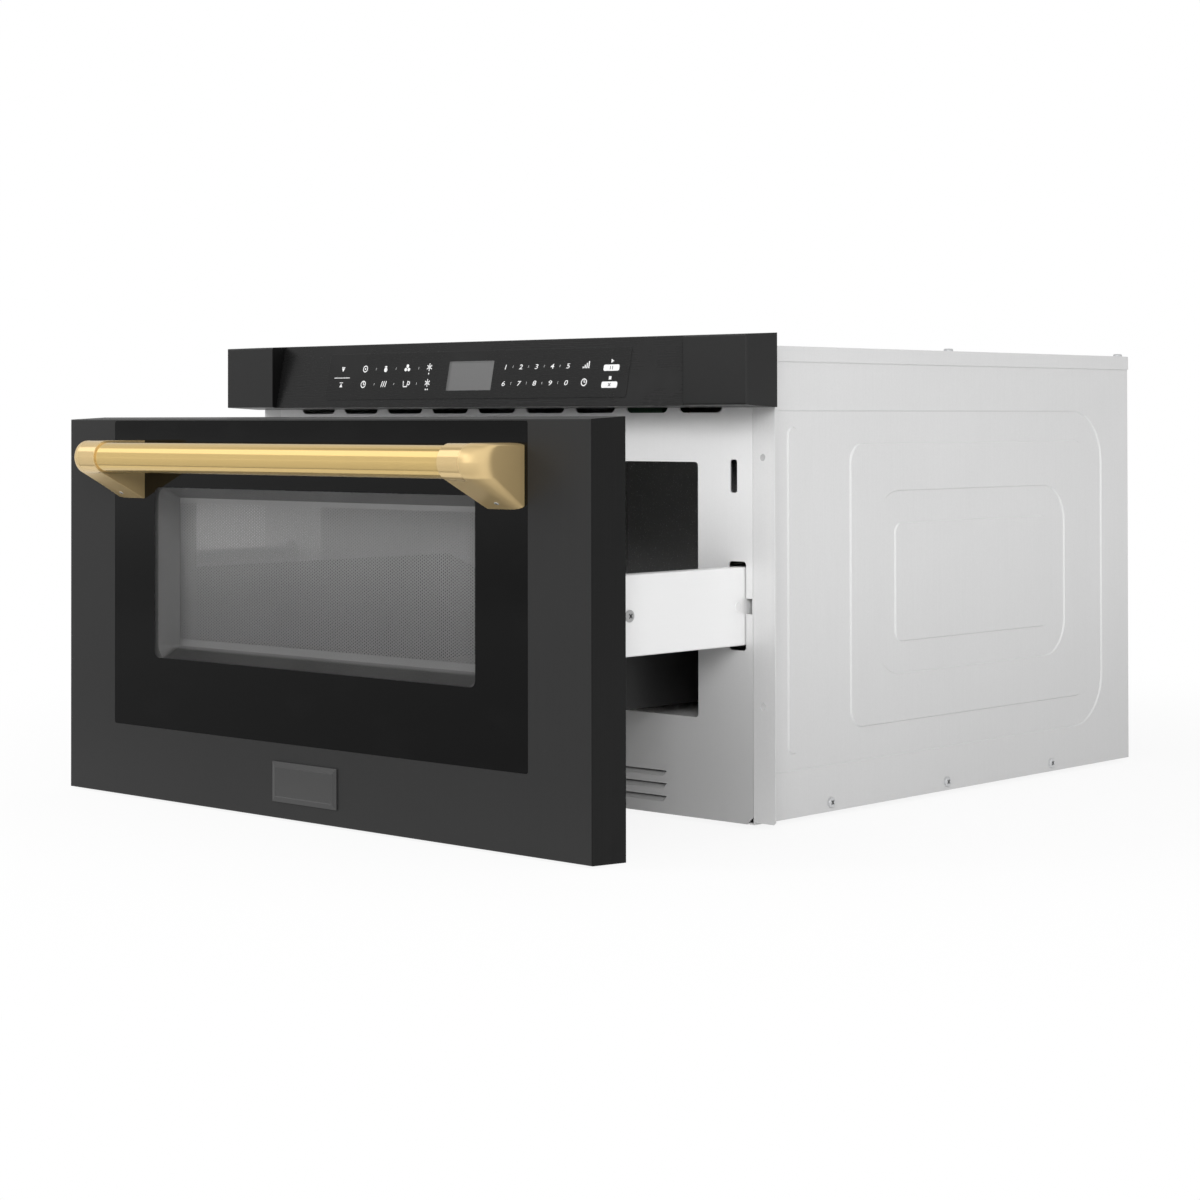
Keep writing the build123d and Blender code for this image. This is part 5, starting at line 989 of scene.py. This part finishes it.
# a near-black plate that shows past the overlay's edge: painted shade in the gap round it
panel_plate("overlay_gap", painted_shade_and_print_black, OVERLAY_HALF + OVERLAY_GAP, low - OVERLAY_GAP, high + OVERLAY_GAP,
            0.0001, 0.0025, 0.00002, GAP_RISE)
low, high = up_slope(DISPLAY_LOW), up_slope(DISPLAY_HIGH)
panel_plate("display_window", lcd, DISPLAY_HALF, low, high, 0.0001, 0.0004, 0.00002, DISPLAY_RISE)

# ---------------------------------------------------------------- floor, studio sky and lamps

FLOOR_SIZE = 60
TABLE_EDGE = -0.66          # a pale table, painted into the floor's glow for reflected rays only, ends here

bpy.ops.mesh.primitive_plane_add(size=FLOOR_SIZE, location=(0, 0, cad_box[0].z - 0.0002))
floor = bpy.context.object
floor.name = "floor"

ground = Finish("floor")
x, y, _ = ground.axes()
away = ground.maths("SQRT", x * x + y * y)
seen = ground.node("LightPath", output="Is Camera Ray")
mirrored = ground.node("LightPath", output="Is Glossy Ray")
# For reflected rays the floor glows as a painted reflection: brighter farther off, a pale table out to TABLE_EDGE
# and a dark line at its edge.
far = ground.soft(away, 0.8, 9.0) * 0.45 + 0.38
table = ground.soft(y, TABLE_EDGE, TABLE_EDGE + 0.01)
painted_edge_line = ground.between(y, TABLE_EDGE - 0.05, TABLE_EDGE, 0.008)
reflected = (table * 0.75 + far * (1.0 - table)) * (1.0 - painted_edge_line * 0.85)
glow = ground.node("Emission", values={"Strength": seen + mirrored * reflected})
fleck = ground.noise(300.0, 2.0)
ground.dress(Base_Color=ground.mix(fleck, grey(0.84), grey(0.88)), Roughness=0.9)
shown = seen * (ground.soft(away, 0.30, 1.1) * 0.12 + 0.88) + mirrored * 0.8
mixed = ground.node("MixShader", values={0: shown, 2: glow})
ground.tree.links.new(ground.shader.outputs[0], mixed.socket.node.inputs[1])
ground.tree.links.new(mixed.socket, ground.tree.nodes["Material Output"].inputs["Surface"])
floor.data.materials.append(ground.material)

world = bpy.data.worlds.new("studio")
bpy.context.scene.world = world
world.use_nodes = True
sky = Tree(world.node_tree)
way = sky.node("TexCoord", output="Generated")
right, back, up = (sky.node("SeparateXYZ", values={0: way}, output=i) for i in range(3))
upper_left = sky.between(up, 0.40, 0.68, 0.04) * (
    1.0 - sky.soft(back, -0.22, -0.12)) * (1.0 - sky.soft(right, 0.1, 0.4))
crest = sky.soft(up, 0.60, 0.70) * sky.between(back, -0.10, 0.10, 0.05)
right_wall = sky.soft(right, 0.25, 0.55) * (1.0 - sky.soft(back, 0.56, 0.64)) * (1.0 - sky.soft(up, 0.75, 0.9))
right_back = sky.soft(right, 0.30, 0.50) * sky.soft(back, 0.60, 0.66) * (1.0 - sky.soft(up, 0.40, 0.60))
front_wall = sky.between(right, 0.0, 0.62, 0.10) * (1.0 - sky.soft(back, -0.85, -0.60))
studio = upper_left * 0.85 + right_wall * 0.28 + front_wall * 0.70 + 0.60 - crest * 0.35 - right_back * 0.50
straight = sky.node("LightPath", output="Is Camera Ray")
backdrop = world.node_tree.nodes["Background"]
sky.feed(backdrop.inputs["Color"], grey(1.0))
sky.feed(backdrop.inputs["Strength"], straight + studio * (1.0 - straight))


def soft_lamp(name, place, aim, size, power):
    """Large lamp that lights the object and isn't mirrored in it."""
    deselect()
    bpy.ops.object.light_add(type="AREA", location=place)
    lamp = bpy.context.object
    lamp.name = name
    lamp.data.shape = "RECTANGLE"
    lamp.data.size, lamp.data.size_y = size
    lamp.data.energy = power
    lamp.rotation_euler = (Vector(aim) - Vector(place)).to_track_quat("-Z", "Y").to_euler()
    lamp.visible_glossy = False


soft_lamp("front_right_lamp", (2.00, -2.20, 1.15), (0.20, -0.30, 0.20), (1.2, 1.0), 36)
soft_lamp("front_left_lamp", (-1.50, -2.10, 1.20), (0.10, -0.45, 0.20), (0.7, 0.7), 20)
